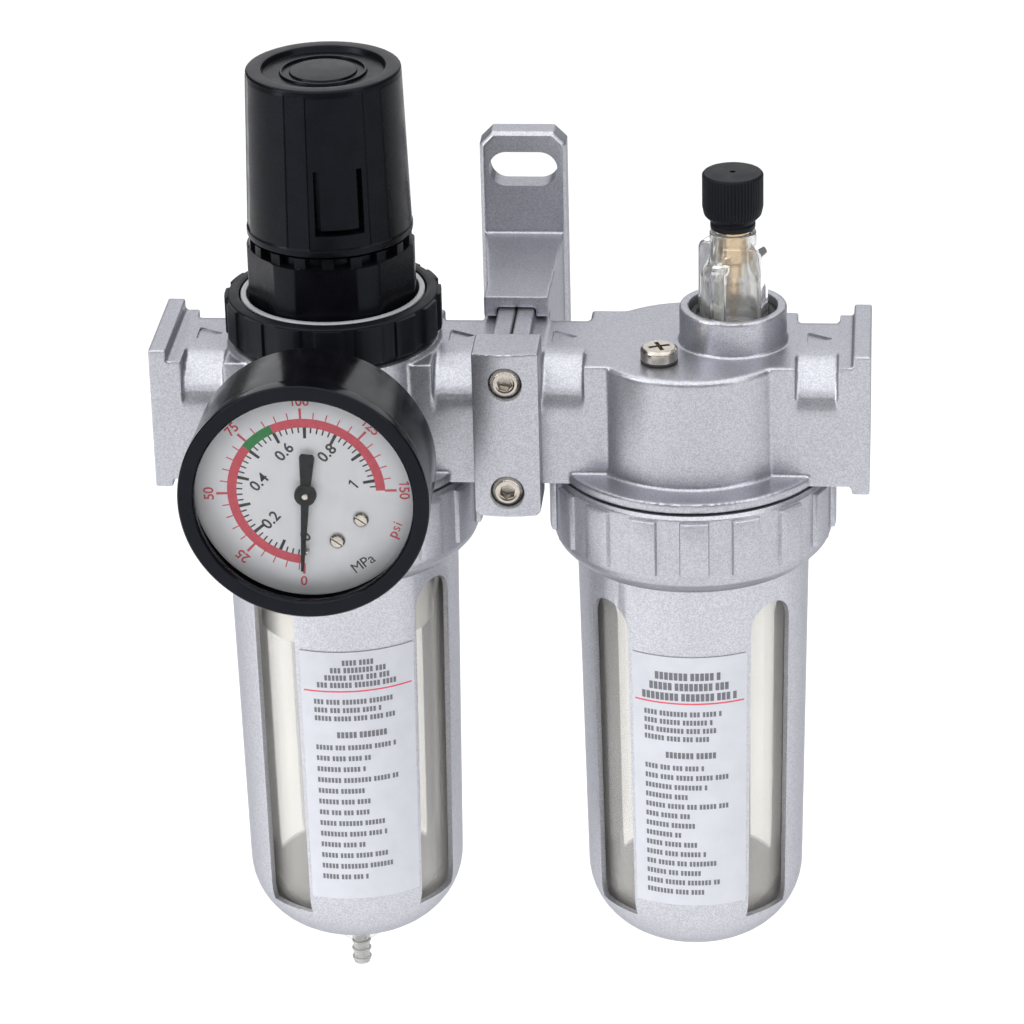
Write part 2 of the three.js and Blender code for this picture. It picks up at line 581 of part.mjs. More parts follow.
// Gauge stem: wrench flats behind the case, and the thread in the body's front port.
function gaugeStem() {
  const hex = prism(6, 14, 0, 9).rotate([90, 0, 0]).translate([FILTER_X, GAUGE.back + 9.3, GAUGE.z]);
  const body = join(hex, bar("y", 4.7, FILTER_X, GAUGE.z, GAUGE.back + 5, -17.6, 24),
    bar("y", 3.3, FILTER_X, GAUGE.z, GAUGE.back - 1.6, GAUGE.back + 2, 16));
  return cut(body, bar("y", 1.2, FILTER_X, GAUGE.z, -45, 0, 12));
}

function gaugeWasher() {
  return tubeY(5, 8.2, GAUGE.back + 9.6, -BARREL_R - GAP, FILTER_X, GAUGE.z, 22);
}

// Ring nut that holds a bowl and its guard on the body's spigot.
function bowlRing(x) {
  const { r, top, straight, bottom, lipR, bore } = RING;
  const lipTop = GUARD.flangeBottom - 0.2;
  return turned([[bore, top], [32, top], [r, top - 1.2], [r, straight], [r - 0.9, straight - 2.2],
    [r - 2.4, straight - 4.2], [lipR + 0.9, bottom], [lipR, bottom], [lipR, lipTop], [bore, lipTop],
      [bore, top]]
    .reverse(), x, 0, 28);
}

// A round-bottomed shell: its outside radius at the top and low down, wall, top, bottom and corner radius.
function cupOutline(topR, lowR, top, bottom, bend, steps = 4) {
  const points = [[0, bottom]];
  for (let i = 0; i <= steps; i++) {
    const angle = (i / steps) * (Math.PI / 2);
    points.push([lowR - bend + bend * Math.sin(angle), bottom + bend - bend * Math.cos(angle)]);
  }
  points.push([topR, top]);
  return points;
}

function bowl(x, drilled) {
  const { r, wall, flangeR, flangeTop, flangeBottom, bottom, bend } = BOWL;
  const lowR = r - 1.2;
  const outer = turned([...cupOutline(r, lowR, flangeBottom, bottom, bend), [0, flangeBottom]], x, 0, 20);
  const collar = turned([[0, flangeBottom - 1], [flangeR, flangeBottom], [flangeR, flangeTop],
    [24.6, flangeTop],
    [24.6, MOUTH], [0, MOUTH]], x, 0, 20);
  const inner = turned([...cupOutline(r - wall - 0.4, lowR - wall, MOUTH + 1, bottom + wall, bend - wall),
    [0, MOUTH + 1]], x, 0, 20);
  const { inner: seat, low, high, room } = BOWL_SEAL;
  const groove = tube(seat - 0.2, SPIGOT.bore + 0.8, low - room, high + room, x, 0, 20);
  const shell = cut(join(outer, collar), inner, groove);
  return drilled ? cut(shell, bar("z", 2, x, 0, bottom - 2, bottom + wall + 2, 16)) : shell;
}

function bowlSeal(x) {
  return tube(BOWL_SEAL.inner, BOWL_SEAL.outer, BOWL_SEAL.low, BOWL_SEAL.high, x, 0, 20);
}

// Metal guard with four tall windows and a hole at the bottom.
function guard(x, turnDeg, holeR, windowTop) {
  const { topR, lowR, wall, flangeR, top, flangeBottom, bottom, bend } = GUARD;
  const outer = turned([...cupOutline(topR, lowR, top, bottom, bend), [0, top]], x, 0, 22);
  const flange = tube(topR - 1, flangeR, flangeBottom, top, x, 0, 22);
  const inner = turned([...cupOutline(topR - wall, lowR - wall, top + 1, bottom + wall, bend - wall),
    [0, top + 1]], x, 0, 22);
  const openings = [];
  for (let i = 0; i < 4; i++) {
    const half = topR * Math.sin(WINDOW.halfDeg * RAD);
    const opening = join(
      box(-half, half, 0, 40, WINDOW.bottom, windowTop - half),
      bar("y", half, 0, windowTop - half, 0, 40, 20),
    );
    openings.push(opening.rotate([0, 0, 45 + turnDeg + i * 90]).translate([x, 0, 0]));
  }
  return cut(join(outer, flange), inner, bar("z", holeR, x, 0, bottom - 1, bottom + 4, 24), ...openings);
}

// Sticker on the front of a guard, between two windows.
function label(x, turnDeg) {
  const { halfDeg, top, bottom, thick } = LABEL;
  const slope = (GUARD.topR - GUARD.lowR) / (GUARD.top - GUARD.bottom - GUARD.bend);
  const rAt = (z) => GUARD.topR - slope * (GUARD.top - z) + GAP;
  const shell = turned([[rAt(bottom), bottom], [rAt(bottom) + thick, bottom], [rAt(top) + thick, top],
    [rAt(top), top],
    [rAt(bottom), bottom]], 0, 0, 22);
  const wedge = sectors(1, 2 * halfDeg, 5, 35, bottom - 1, top + 1, turnDeg - 90);
  return shell.intersect(wedge[0]).translate([x, 0, 0]);
}

function drainCollar() {
  return turned([[3.7, -145], [4.75, -145], [4.75, -139], [4.2, -136.9], [2.2, -136.9], [2.2, -138],
    [3.7, -138],
    [3.7, -145]], FILTER_X, 0, 20);
}

// Push-up drain: a barbed hose nipple with a step for the spring and a sealing head inside the bowl.
function drainNipple() {
  const barbs = [];
  for (let i = 0; i < 3; i++) {
    const low = -152.4 + i * 2.4;
    barbs.push([1.9, low - 0.9], [2.45, low + 0.6], [1.9, low + 0.7]);
  }
  return turned([[0.9, -153.5], [1.7, -153.5], ...barbs, [2.2, -145], [2.2, -143.4], [3.3, -143.2],
    [3.3, -142.4],
    [1.6, -142.2], [1.6, -133.6], [4.2, -133.5], [4.2, -131.6], [0, -131.6], [0, -135], [0.9, -135],
      [0.9, -153.5]],
  FILTER_X, 0, 16);
}

function drainSpring() {
  return spring(2.7, 0.6, -142.1, -138.3, 3).translate([FILTER_X, 0, 0]);
}

// Slotted deflector that spins the incoming air, hung under the body's centre boss.
function deflector() {
  const { r, skirtBore, hubBore, top, discLow, bottom } = DEFLECTOR;
  const disc = tube(hubBore, r, discLow, top, 0, 0, 20);
  const skirt = tube(skirtBore, r, bottom, discLow + 1, 0, 0, 20);
  const vents = sectors(8, 16, 16.5, r + 1, discLow + 1.5, top - 1.5, 10);
  return join(cut(disc, ...vents), skirt).translate([FILTER_X, 0, 0]);
}

function filterElement() {
  return tube(ELEMENT.inner, ELEMENT.outer, ELEMENT.bottom, ELEMENT.top, FILTER_X, 0, 24);
}

// Stud with the quiet-zone baffle that holds the element against the body.
function baffle() {
  const { r, bottom, top, studR, studTop } = BAFFLE;
  const cone = [[0, bottom + 2.5], [r - 0.4, bottom], [r, bottom + 0.9], [r - 3.8, top], [0, top]];
  return join(turned(cone, FILTER_X, 0, 24), bar("z", studR, FILTER_X, 0, top - 1, studTop, 18));
}

// Seat that closes the body's lower bore around the element stud.
function elementSeat() {
  return tube(2.8, 11.2, -38.1, -30, FILTER_X, 0, 20);
}

// Sight dome of the lubricator: a clear cap with four grip lobes.
function sightDome() {
  const { x, y, boreR, floor } = DOME;
  const base = floor + GAP;
  const outer = join(
    bar("z", boreR - 0.4, 0, 0, base, base + 3, 22),
    turned([[0, base + 2], [7.4, base + 2], [7.1, 30.5], [5.6, 34], [5.4, 41.1], [0, 41.1]], 0, 0, 22),
    ...lobes(),
  );
  const inner = turned([[0, base - 1], [5.4, base - 1], [5.4, 29.6], [4.1, 32], [4.1, 42], [0, 42]],
    0, 0, 20);
  return cut(outer, inner).translate([x, y, 0]);

  function lobes() {
    const made = [];
    for (let i = 0; i < 4; i++) {
      const shoulder = i % 2 === 0 ? 36.2 : 32.5;
      const wing = join(
        box(4.6, 8.05, -1.9, 1.9, base + 2, shoulder),
        bar("y", 1.8, 6.25, shoulder, -1.9, 1.9, 16),
      );
      made.push(wing.rotate([0, 0, -26 + i * 90]));
    }
    return made;
  }
}

function domeSeal() {
  const { x, y, boreR, floor } = DOME;
  return tube(boreR - 1.9, boreR - GAP, floor + 3.5, floor + 5, x, y, 22);
}

// Knurled drip adjusting knob, fixed on the needle valve's top.
function dripKnob() {
  const { x, y } = DOME;
  const shell = turned([[3.7, 41.8], [5.2, 41.8], [5.2, 43.6], [6.9, 46.2], [6.9, 54.8], [6.4, 55.3],
    [0, 55.3], [0, 50.3], [3.7, 50.3], [3.7, 41.8]], 0, 0, 20);
  return shell.translate([x, y, 0]);
}

function needleValve() {
  const { x, y } = DOME;
  return turned([[0, 19.6], [0.5, 20], [1.6, 24], [1.6, 29.6], [2.5, 30], [2.5, 33.6], [3.4, 34.2], [3.4, 50],
    [0, 50]], x, y, 24);
}

// Oil filler plug: pan head screw with a cross recess.
function fillPlug() {
  const { x, y, headR, threadR, seat, headHigh, slotWide } = PLUG;
  const top = seat + headHigh;
  const head = turned([[0, seat], [headR, seat], [headR, top - 1.3], [headR - 1, top - 0.2], [0, top]],
    0, 0, 20);
  const shank = bar("z", threadR, 0, 0, 2, seat + 1, 20);
  const arm = box(-2.5, 2.5, -slotWide / 2, slotWide / 2, top - 1.6, top + 1);
  return cut(join(head, shank), arm.rotate([0, 0, 20]), arm.rotate([0, 0, 110])).translate([x, y, 0]);
}

function plugSeal() {
  return tube(PLUG.threadR + GAP, PLUG.headR, BODY_TOP + 0.05, PLUG.seat - 0.05, PLUG.x, PLUG.y, 20);
}

// Siphon tube that lifts oil from the bowl to the sight dome.
function siphonTube() {
  const { x, y, r, boreR, bottom, top } = SIPHON;
  return cut(bar("z", r, x, y, bottom, top, 16), bar("z", boreR, x, y, bottom - 1, top + 1, 12));
}

// Flexible vane across the air passage, which sends part of the flow through the oil circuit.
function flowVane() {
  return tube(3.2, 6.2, 0, 1.4, 0, 0, 24).rotate([0, 90, 0]).translate([LUBE_X + 2, 0, 0]);
}

const unit = new THREE.Group();
const black = () => plastic(0x141416, 0.45);
const pieces = [
  ["filter_body", filterBody(), casting()],
  ["lubricator_body", lubeBody(), casting()],
  ["seam_seal", seamSeal(), plastic(0x1c1c1c, 0.8)],
  ["front_clamp", frontClamp(), casting()],
  ["wall_bracket", wallBracket(), casting()],
  ["clamp_screw_upper", clampScrew(SCREW.highZ), metal(0xb8b2a8, 0.25, 1)],
  ["clamp_screw_lower", clampScrew(SCREW.lowZ), metal(0xb8b2a8, 0.25, 1)],
  ["bonnet_nut", bonnetNut(), black()],
  ["bonnet", bonnet(), black()],
  ["bonnet_ring", silverRing(), metal(0xd0d2d6, 0.25, 1)],
  ["regulator_knob", knob(), black()],
  ["adjusting_screw", adjustingScrew(), metal(0xa0a0a4, 0.35, 1)],
  ["spring_seat", springSeat(), metal(0xa0a0a4, 0.35, 1)],
  ["main_spring", mainSpring(), metal(0x8c8c90, 0.35, 1)],
  ["diaphragm", diaphragm(), plastic(0x202020, 0.8)],
  ["diaphragm_plate", diaphragmPlate(), metal(0xb0b0b4, 0.35, 1)],
  ["valve_plug", valvePlug(), metal(0xc0a050, 0.35, 1)],
  ["valve_guide", valveGuide(), plastic(0xe0e0dc, 0.6)],
  ["valve_spring", valveSpring(), metal(0x8c8c90, 0.35, 1)],
  ["gauge_case", gaugeCase(), plastic(0x101012, 0.3)],
  ["gauge_bezel", gaugeBezel(), plastic(0x101012, 0.25)],
  ["gauge_lens", gaugeLens(), clear(0xf4f8fa, 0.15)],
  ["gauge_dial", gaugeDial(), plastic(0xf2f3f6, 0.5)],
  ["dial_screw_inner", dialScrew(DIAL_SCREW.inner), metal(0xc0c0c0, 0.3, 1)],
  ["dial_screw_outer", dialScrew(DIAL_SCREW.outer), metal(0xc0c0c0, 0.3, 1)],
  ["gauge_stop_pin", stopPin(), metal(0xc0c0c0, 0.3, 1)],
  ["gauge_needle", gaugeNeedle(), plastic(0x121212, 0.4)],
  ["gauge_sector", gaugeSector(), metal(0xc0a050, 0.35, 1)],
  ["gauge_movement", gaugeMovement(), metal(0xc0a050, 0.35, 1)],
  ["bourdon_tube", bourdonTube(), metal(0xb08850, 0.3, 1)],
  ["gauge_stem", gaugeStem(), metal(0xc0a050, 0.35, 1)],
  ["gauge_washer", gaugeWasher(), plastic(0x1c1c1c, 0.8)],
  ["filter_ring", bowlRing(FILTER_X), casting()],
  ["filter_bowl", bowl(FILTER_X, true), clear(0xeef0ea, 0.3)],
  ["filter_bowl_seal", bowlSeal(FILTER_X), plastic(0x1c1c1c, 0.8)],
  ["filter_guard", guard(FILTER_X, BOWL_TURN.filter, 5.6, WINDOW.filterTop), casting()],
  ["filter_label", label(FILTER_X, BOWL_TURN.filter), plastic(0xeceef4, 0.5)],
  ["drain_collar", drainCollar(), metal(0xc8c8c4, 0.35, 1)],
  ["drain_nipple", drainNipple(), clear(0xe6e6e0, 0.6)],
  ["drain_spring", drainSpring(), metal(0x8c8c90, 0.35, 1)],
  ["element_seat", elementSeat(), plastic(0x1c1c1c, 0.6)],
  ["deflector", deflector(), plastic(0xececea, 0.6)],
  ["filter_element", filterElement(), plastic(0xf0efe8, 0.9)],
  ["element_baffle", baffle(), plastic(0xececea, 0.6)],
  ["lubricator_ring", bowlRing(LUBE_X), casting()],
  ["lubricator_bowl", bowl(LUBE_X, false), clear(0xeef0ea, 0.3)],
  ["lubricator_bowl_seal", bowlSeal(LUBE_X), plastic(0x1c1c1c, 0.8)],
  ["lubricator_guard", guard(LUBE_X, BOWL_TURN.lube, 4, WINDOW.lubeTop), casting()],
  ["lubricator_label", label(LUBE_X, BOWL_TURN.lube), plastic(0xeceef4, 0.5)],
  ["sight_dome", sightDome(), clear(0xeef0ea, 0.25)],
  ["sight_dome_seal", domeSeal(), plastic(0x1c1c1c, 0.8)],
  ["drip_knob", dripKnob(), plastic(0x18181a, 0.55)],
  ["needle_valve", needleValve(), metal(0xc9a24a, 0.3, 1)],
  ["fill_plug", fillPlug(), metal(0xb8b2a8, 0.25, 1)],
  ["fill_plug_seal", plugSeal(), plastic(0x1c1c1c, 0.8)],
  ["siphon_tube", siphonTube(), clear(0xe8e8e0, 0.5)],
  ["flow_vane", flowVane(), plastic(0x1c1c1c, 0.7)],
];
pieces.forEach(([name, made, material]) => unit.add(mesh(name, made, material)));
unit.position.y = -WALL_DEPTH;

const frl = new THREE.Group();
frl.name = "filter_regulator_lubricator";
frl.add(unit);
export default frl;
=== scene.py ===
"""The looks of a filter regulator lubricator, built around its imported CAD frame. All lengths are in
millimetres until a piece is handed over by keep(), which puts it in the frame, in metres."""

import json
import random
from math import cos, degrees, pi, radians, sin, tan

import bmesh
import bpy
from mathutils import Matrix, Vector


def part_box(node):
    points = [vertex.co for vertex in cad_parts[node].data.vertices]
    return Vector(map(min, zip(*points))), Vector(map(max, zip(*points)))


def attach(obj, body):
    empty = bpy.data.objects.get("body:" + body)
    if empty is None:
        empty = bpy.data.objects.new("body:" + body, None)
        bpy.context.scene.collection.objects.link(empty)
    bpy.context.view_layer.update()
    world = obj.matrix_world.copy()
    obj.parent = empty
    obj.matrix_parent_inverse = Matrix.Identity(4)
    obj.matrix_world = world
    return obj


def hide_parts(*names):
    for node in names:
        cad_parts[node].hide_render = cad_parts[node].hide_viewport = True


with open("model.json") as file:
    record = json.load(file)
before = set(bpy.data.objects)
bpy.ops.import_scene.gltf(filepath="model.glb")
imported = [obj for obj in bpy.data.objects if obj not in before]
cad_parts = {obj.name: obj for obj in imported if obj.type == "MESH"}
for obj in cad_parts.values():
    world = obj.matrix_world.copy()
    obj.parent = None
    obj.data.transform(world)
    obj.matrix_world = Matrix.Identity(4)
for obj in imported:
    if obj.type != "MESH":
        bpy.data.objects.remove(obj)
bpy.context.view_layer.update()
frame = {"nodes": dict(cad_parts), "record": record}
MM = 0.001


def low(node):
    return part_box(node)[0] / MM


def high(node):
    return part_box(node)[1] / MM


def middle(node):
    start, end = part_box(node)
    return (start + end) / 2 / MM


def heights(node):
    return low(node).z, high(node).z


# Every Y below is measured from the plane of the two bowls' axes.
AXIS_Y = middle("filter_ring").y


def front_of(node):
    return low(node).y - AXIS_Y


def back_of(node):
    return high(node).y - AXIS_Y


def axis_of(node):
    """Where a CAD piece's upright axis stands."""
    spot = middle(node)
    return spot.x, spot.y - AXIS_Y


FILTER_X = middle("filter_ring").x
LUBE_X = middle("lubricator_ring").x
GAUGE_Z = middle("gauge_bezel").z
GAUGE_FRONT = front_of("gauge_bezel")
DIAL_Y = front_of("gauge_dial")
ON_FILTER = {"at": (FILTER_X, 0, 0)}
ON_DOME = {"at": (*axis_of("drip_knob"), 0)}
ON_GAUGE = {"at": (FILTER_X, 0, GAUGE_Z), "axis": "y"}
UNIT = Matrix.Translation((0, AXIS_Y * MM, 0)) @ Matrix.Scale(MM, 4)
ROUND = 128


# ---- mesh tools

def placed(name, data):
    """A new object in the scene."""
    made = bpy.data.objects.new(name, data)
    bpy.context.scene.collection.objects.link(made)
    return made


def from_bm(bm):
    bmesh.ops.recalc_face_normals(bm, faces=bm.faces)
    mesh = bpy.data.meshes.new("piece")
    bm.to_mesh(mesh)
    bm.free()
    return placed("piece", mesh)


def moved(piece, matrix):
    piece.data.transform(matrix)
    return piece


def turn_to(axis):
    """The rotation that lays something built along Z along another axis."""
    if axis == "y":
        return Matrix.Rotation(-pi / 2, 4, "X")
    if axis == "x":
        return Matrix.Rotation(pi / 2, 4, "Y")
    return Matrix.Identity(4)


def rounded(points, steps=5):
    """A closed outline of corners, (u, v) or (u, v, radius), with an arc in place of each with a radius."""
    made = []
    count = len(points)
    for i, point in enumerate(points):
        here = Vector(point[:2])
        radius = point[2] if len(point) > 2 else 0
        if not radius:
            made.append((here.x, here.y))
            continue
        back = Vector(points[i - 1][:2]) - here
        ahead = Vector(points[(i + 1) % count][:2]) - here
        angle = back.angle(ahead)
        reach = min(radius / tan(angle / 2), back.length * 0.49, ahead.length * 0.49)
        radius = reach * tan(angle / 2)
        to_back, to_ahead = back.normalized(), ahead.normalized()
        centre = here + (to_back + to_ahead).normalized() * radius / sin(angle / 2)
        start = here + to_back * reach - centre
        end = here + to_ahead * reach - centre
        sweep = start.angle(end) * (1 if start.cross(end) > 0 else -1)
        for k in range(steps + 1):
            turn = sweep * k / steps
            spot = centre + Matrix.Rotation(turn, 2) @ start
            made.append((spot.x, spot.y))
    return made


def oblong(u0, u1, v0, v1, radii=(0, 0, 0, 0), steps=5):
    """A rectangle's outline with a radius for each corner, counterclockwise from its lower left."""
    corners = ((u0, v0), (u1, v0), (u1, v1), (u0, v1))
    return rounded([(*corner, radius) for corner, radius in zip(corners, radii)], steps)


def even(count=ROUND):
    return [i * 2 * pi / count for i in range(count)]


def lathe(profile, angles=None, shape=None, at=(0, 0, 0), axis="z"):
    """A turned piece. shape(r, h, angle) may change the radius. A profile that starts and ends on the axis
    isn't closed on itself, any other one is."""
    angles = angles or even()
    bm = bmesh.new()
    rings = []
    for r, h in profile:
        if r < 1e-6:
            rings.append([bm.verts.new((0, 0, h))])
            continue
        ring = []
        for angle in angles:
            radius = shape(r, h, angle) if shape else r
            ring.append(bm.verts.new((radius * cos(angle), radius * sin(angle), h)))
        rings.append(ring)
    pairs = list(zip(rings, rings[1:]))
    if len(rings[0]) > 1 or len(rings[-1]) > 1:
        pairs.append((rings[-1], rings[0]))
    for a, b in pairs:
        for i in range(len(angles)):
            j = (i + 1) % len(angles)
            corners = list(dict.fromkeys([a[i % len(a)], a[j % len(a)], b[j % len(b)], b[i % len(b)]]))
            if len(corners) > 2:
                bm.faces.new(corners)
    return moved(from_bm(bm), Matrix.Translation(at) @ turn_to(axis))


def prism(outline, start, end, at=(0, 0, 0), axis="z"):
    """A closed outline of (u, v) points, drawn out from start to end."""
    bm = bmesh.new()
    below = [bm.verts.new((u, v, start)) for u, v in outline]
    above = [bm.verts.new((u, v, end)) for u, v in outline]
    bm.faces.new(below)
    bm.faces.new(above)
    for i in range(len(outline)):
        j = (i + 1) % len(outline)
        bm.faces.new([below[i], below[j], above[j], above[i]])
    return moved(from_bm(bm), Matrix.Translation(at) @ turn_to(axis))


def block(x0, x1, y0, y1, z0, z1):
    return prism([(x0, y0), (x1, y0), (x1, y1), (x0, y1)], z0, z1)


def disc(r, start, end, at=(0, 0, 0), axis="z", sides=ROUND):
    return prism([(r * cos(a), r * sin(a)) for a in even(sides)], start, end, at, axis)


def sector(inner, outer, start_deg, end_deg, z0, z1, steps=8):
    """A block between two radii and two angles, in degrees from +X."""
    sweep = [radians(start_deg + (end_deg - start_deg) * k / steps) for k in range(steps + 1)]
    outline = [(outer * cos(a), outer * sin(a)) for a in sweep]
    outline += [(inner * cos(a), inner * sin(a)) for a in reversed(sweep)]
    return prism(outline, z0, z1)


def loft(rows):
    """A solid through rows of points that match one to one, with both ends closed."""
    bm = bmesh.new()
    rows = [[bm.verts.new(point) for point in row] for row in rows]
    for a, b in zip(rows, rows[1:]):
        for i in range(len(a)):
            j = (i + 1) % len(a)
            bm.faces.new([a[i], a[j], b[j], b[i]])
    bm.faces.new(rows[0])
    bm.faces.new(list(reversed(rows[-1])))
    return from_bm(bm)


def evaluated(piece):
    graph = bpy.context.evaluated_depsgraph_get()
    return bpy.data.meshes.new_from_object(piece.evaluated_get(graph))


def modified(piece, kind, **values):
    """The piece with one modifier more."""
    step = piece.modifiers.new(kind.lower(), kind)
    for name, value in values.items():
        setattr(step, name, value)
    return piece


def applied(piece):
    """The piece with its modifiers made into its mesh."""
    made = evaluated(piece)
    piece.modifiers.clear()
    piece.data = made
    return piece


def combine(base, others, operation):
    for other in others:
        applied(modified(base, "BOOLEAN", operation=operation, solver="MANIFOLD", object=other))
        bpy.data.objects.remove(other)
    return base


def join(base, *others):
    return combine(base, others, "UNION")


def cut(base, *others):
    return combine(base, others, "DIFFERENCE")


def common(base, *others):
    return combine(base, others, "INTERSECT")


def gather(pieces):
    """Several loose pieces as one mesh."""
    bm = bmesh.new()
    for piece in pieces:
        bm.from_mesh(piece.data)
        bpy.data.objects.remove(piece)
    return from_bm(bm)


def cast(piece, voxel=0.42, passes=2):
    """Rounds every edge and corner a little, as a casting under paint has them."""
    modified(piece, "REMESH", mode="VOXEL", voxel_size=voxel)
    return applied(modified(piece, "SMOOTH", factor=0.5, iterations=passes))


def bevelled(piece, width, segments=2, angle=35):
    return applied(modified(piece, "BEVEL", width=width, segments=segments, limit_method="ANGLE",
                            angle_limit=radians(angle)))


def keep(piece, name, body, stands_for, material, sharp=32):
    """Names a finished piece, puts it in the frame, gives it a body and a look, and hides the CAD nodes that
    it stands for.
    """
    piece.name = name
    piece.data.name = name
    moved(piece, UNIT)
    piece.data.polygons.foreach_set("use_smooth", [True] * len(piece.data.polygons))
    piece.data.set_sharp_from_angle(angle=radians(sharp))
    piece.data.materials.clear()
    piece.data.materials.append(material)
    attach(piece, body)
    if stands_for:
        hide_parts(*stands_for)


def stand_in(piece, node, ending, material, body="unit", sharp=32):
    """Keeps a finished piece in place of the one CAD node that it is named after."""
    keep(piece, f"{node}_{ending}", body, [node], material, sharp)


# ---- materials

class Material:
    """A Principled material whose nodes are added one by one."""

    def __init__(self, name, color, roughness, metallic=0.0, **sockets):
        self.made = bpy.data.materials.new(name)
        self.made.use_nodes = True
        self.tree = self.made.node_tree
        self.shader = self.tree.nodes["Principled BSDF"]
        self.feed(self.shader, Base_Color=(*color, 1), Roughness=roughness, Metallic=metallic, **sockets)
        self.color = color
        self.roughness = roughness
        self.place = self.node("ShaderNodeTexCoord").outputs["Object"]

    def feed(self, node, **sockets):
        """Gives each named input of a node its value, or a link where the value is another node's output."""
        for name, value in sockets.items():
            socket = node.inputs[name.replace("_", " ")]
            if isinstance(value, bpy.types.NodeSocket):
                self.tree.links.new(value, socket)
            else:
                socket.default_value = value
        return node

    def node(self, kind, **sockets):
        return self.feed(self.tree.nodes.new(kind), **sockets)

    def noise(self, size_mm, detail=3.0, stretch=None):
        """Noise whose features are about size_mm across."""
        place = self.place
        if stretch:
            place = self.node("ShaderNodeMapping", Scale=stretch, Vector=place).outputs["Vector"]
        made = self.node("ShaderNodeTexNoise", Scale=1 / (size_mm * MM), Detail=detail, Vector=place)
        return made.outputs["Fac"]

    def span(self, source, low_value, high_value):
        """The middle of a noise's range, which holds nearly all of it, spread from one value to another."""
        made = self.node("ShaderNodeMapRange", Value=source, From_Min=0.3, From_Max=0.7, To_Min=low_value,
                         To_Max=high_value)
        return made.outputs["Result"]

    def rough(self, source, spread):
        self.feed(self.shader, Roughness=self.span(source, self.roughness - spread, self.roughness + spread))
        return self

    def mottle(self, source, darker, lighter):
        """Colour that runs between a darker and a lighter share of the base colour."""
        mix = self.node("ShaderNodeMix")
        mix.data_type = "RGBA"
        self.feed(mix, A=(*[c * darker for c in self.color], 1),
                  B=(*[min(1.0, c * lighter) for c in self.color], 1), Factor=self.span(source, 0, 1))
        self.feed(self.shader, Base_Color=mix.outputs["Result"])
        return self

    def bump(self, source, deep_mm, strength=1.0):
        made = self.node("ShaderNodeBump", Strength=strength, Distance=deep_mm * MM, Height=source)
        self.feed(self.shader, Normal=made.outputs["Normal"])
        return self

    def surface(self, share, *shaders):
        """Makes the surface a mix of two shaders."""
        mix = self.node("ShaderNodeMixShader", Fac=share)
        for i, shader in enumerate(shaders):
            self.tree.links.new(shader.outputs["BSDF"], mix.inputs[i + 1])
        self.feed(self.tree.nodes["Material Output"], Surface=mix.outputs["Shader"])
        return self


def flake_paint(name, color, roughness):
    """Silver paint: fine flakes over a faint orange-peel surface."""
    paint = Material(name, color, roughness, metallic=0.85, Specular_Tint=(0.5, 0.5, 0.53, 1))
    flakes = paint.node("ShaderNodeTexVoronoi", Scale=1 / (0.2 * MM), Vector=paint.place)
    grey = paint.node("ShaderNodeSeparateColor", Color=flakes.outputs["Color"])
    paint.mottle(grey.outputs["Red"], 0.86, 1.14)
    paint.rough(paint.noise(1.5), 0.03)
    return paint.bump(paint.noise(0.8), 0.02, 0.6).made


def black_plastic(name, roughness, grain_mm=0.35, deep_mm=0.012, gloss=0.12):
    made = Material(name, (0.0035, 0.0035, 0.005), roughness, Specular_IOR_Level=gloss,
                    Specular_Tint=(0.8, 0.86, 1, 1))
    made.mottle(made.noise(6.0), 0.8, 1.3)
    made.rough(made.noise(4.0, 5.0), 0.05)
    return made.bump(made.noise(grain_mm), deep_mm).made


def turned_metal(name, color, roughness):
    """Bare or plated metal with fine tool marks."""
    made = Material(name, color, roughness, metallic=1.0)
    made.mottle(made.noise(2.0), 0.85, 1.1)
    made.rough(made.noise(0.8, 4.0), 0.07)
    return made.bump(made.noise(0.5, stretch=(1, 1, 12)), 0.01).made


def moulded(name, color, roughness):
    made = Material(name, color, roughness)
    made.mottle(made.noise(5.0), 0.96, 1.03)
    made.rough(made.noise(3.0), 0.05)
    return made.bump(made.noise(0.4), 0.01).made


def clear_plastic(name, color, roughness, clearness):
    """Clear moulded plastic, which lets the lamps' light through to what is inside."""
    made = Material(name, color, roughness, Transmission_Weight=clearness, IOR=1.45)
    made.bump(made.noise(9.0), 0.03, 0.25)
    through = made.node("ShaderNodeBsdfTransparent", Color=(*[c * 0.97 for c in color], 1))
    rays = made.node("ShaderNodeLightPath")
    return made.surface(rays.outputs["Is Shadow Ray"], made.shader, through).made


def window_glass(name):
    """The gauge's flat lens: clear, with a faint gloss."""
    made = Material(name, (1, 1, 1), 0.03)
    through = made.node("ShaderNodeBsdfTransparent")
    gloss = made.node("ShaderNodeBsdfGlossy", Roughness=0.06)
    edge = made.node("ShaderNodeFresnel", IOR=1.3)
    return made.surface(edge.outputs["Fac"], through, gloss).made


def ink(name, color):
    made = Material(name, color, 0.55)
    return made.mottle(made.noise(1.2), 0.9, 1.1).made


PAINT = flake_paint("silver_paint", (0.455, 0.46, 0.50), 0.36)
GUARD_PAINT = flake_paint("guard_paint", (0.53, 0.535, 0.575), 0.38)
BLACK = black_plastic("black_moulding", 0.28)
NUT_BLACK = black_plastic("black_nut", 0.45, 0.6, 0.02, 0.2)
GLOSS_BLACK = black_plastic("gauge_enamel", 0.16, 3.0, 0.002, 0.16)
NEEDLE_BLACK = black_plastic("needle_enamel", 0.5, 1.0, 0.002, 0.1)
KNURL_BLACK = black_plastic("black_drip_knob", 0.5, 0.3, 0.02, 0.22)
NICKEL = turned_metal("nickel_plate", (0.50, 0.46, 0.41), 0.22)
BRIGHT = moulded("bright_ring", (0.34, 0.35, 0.37), 0.3)
STEEL = turned_metal("spring_steel", (0.42, 0.42, 0.44), 0.32)
BRASS = turned_metal("turned_brass", (0.80, 0.60, 0.36), 0.22)
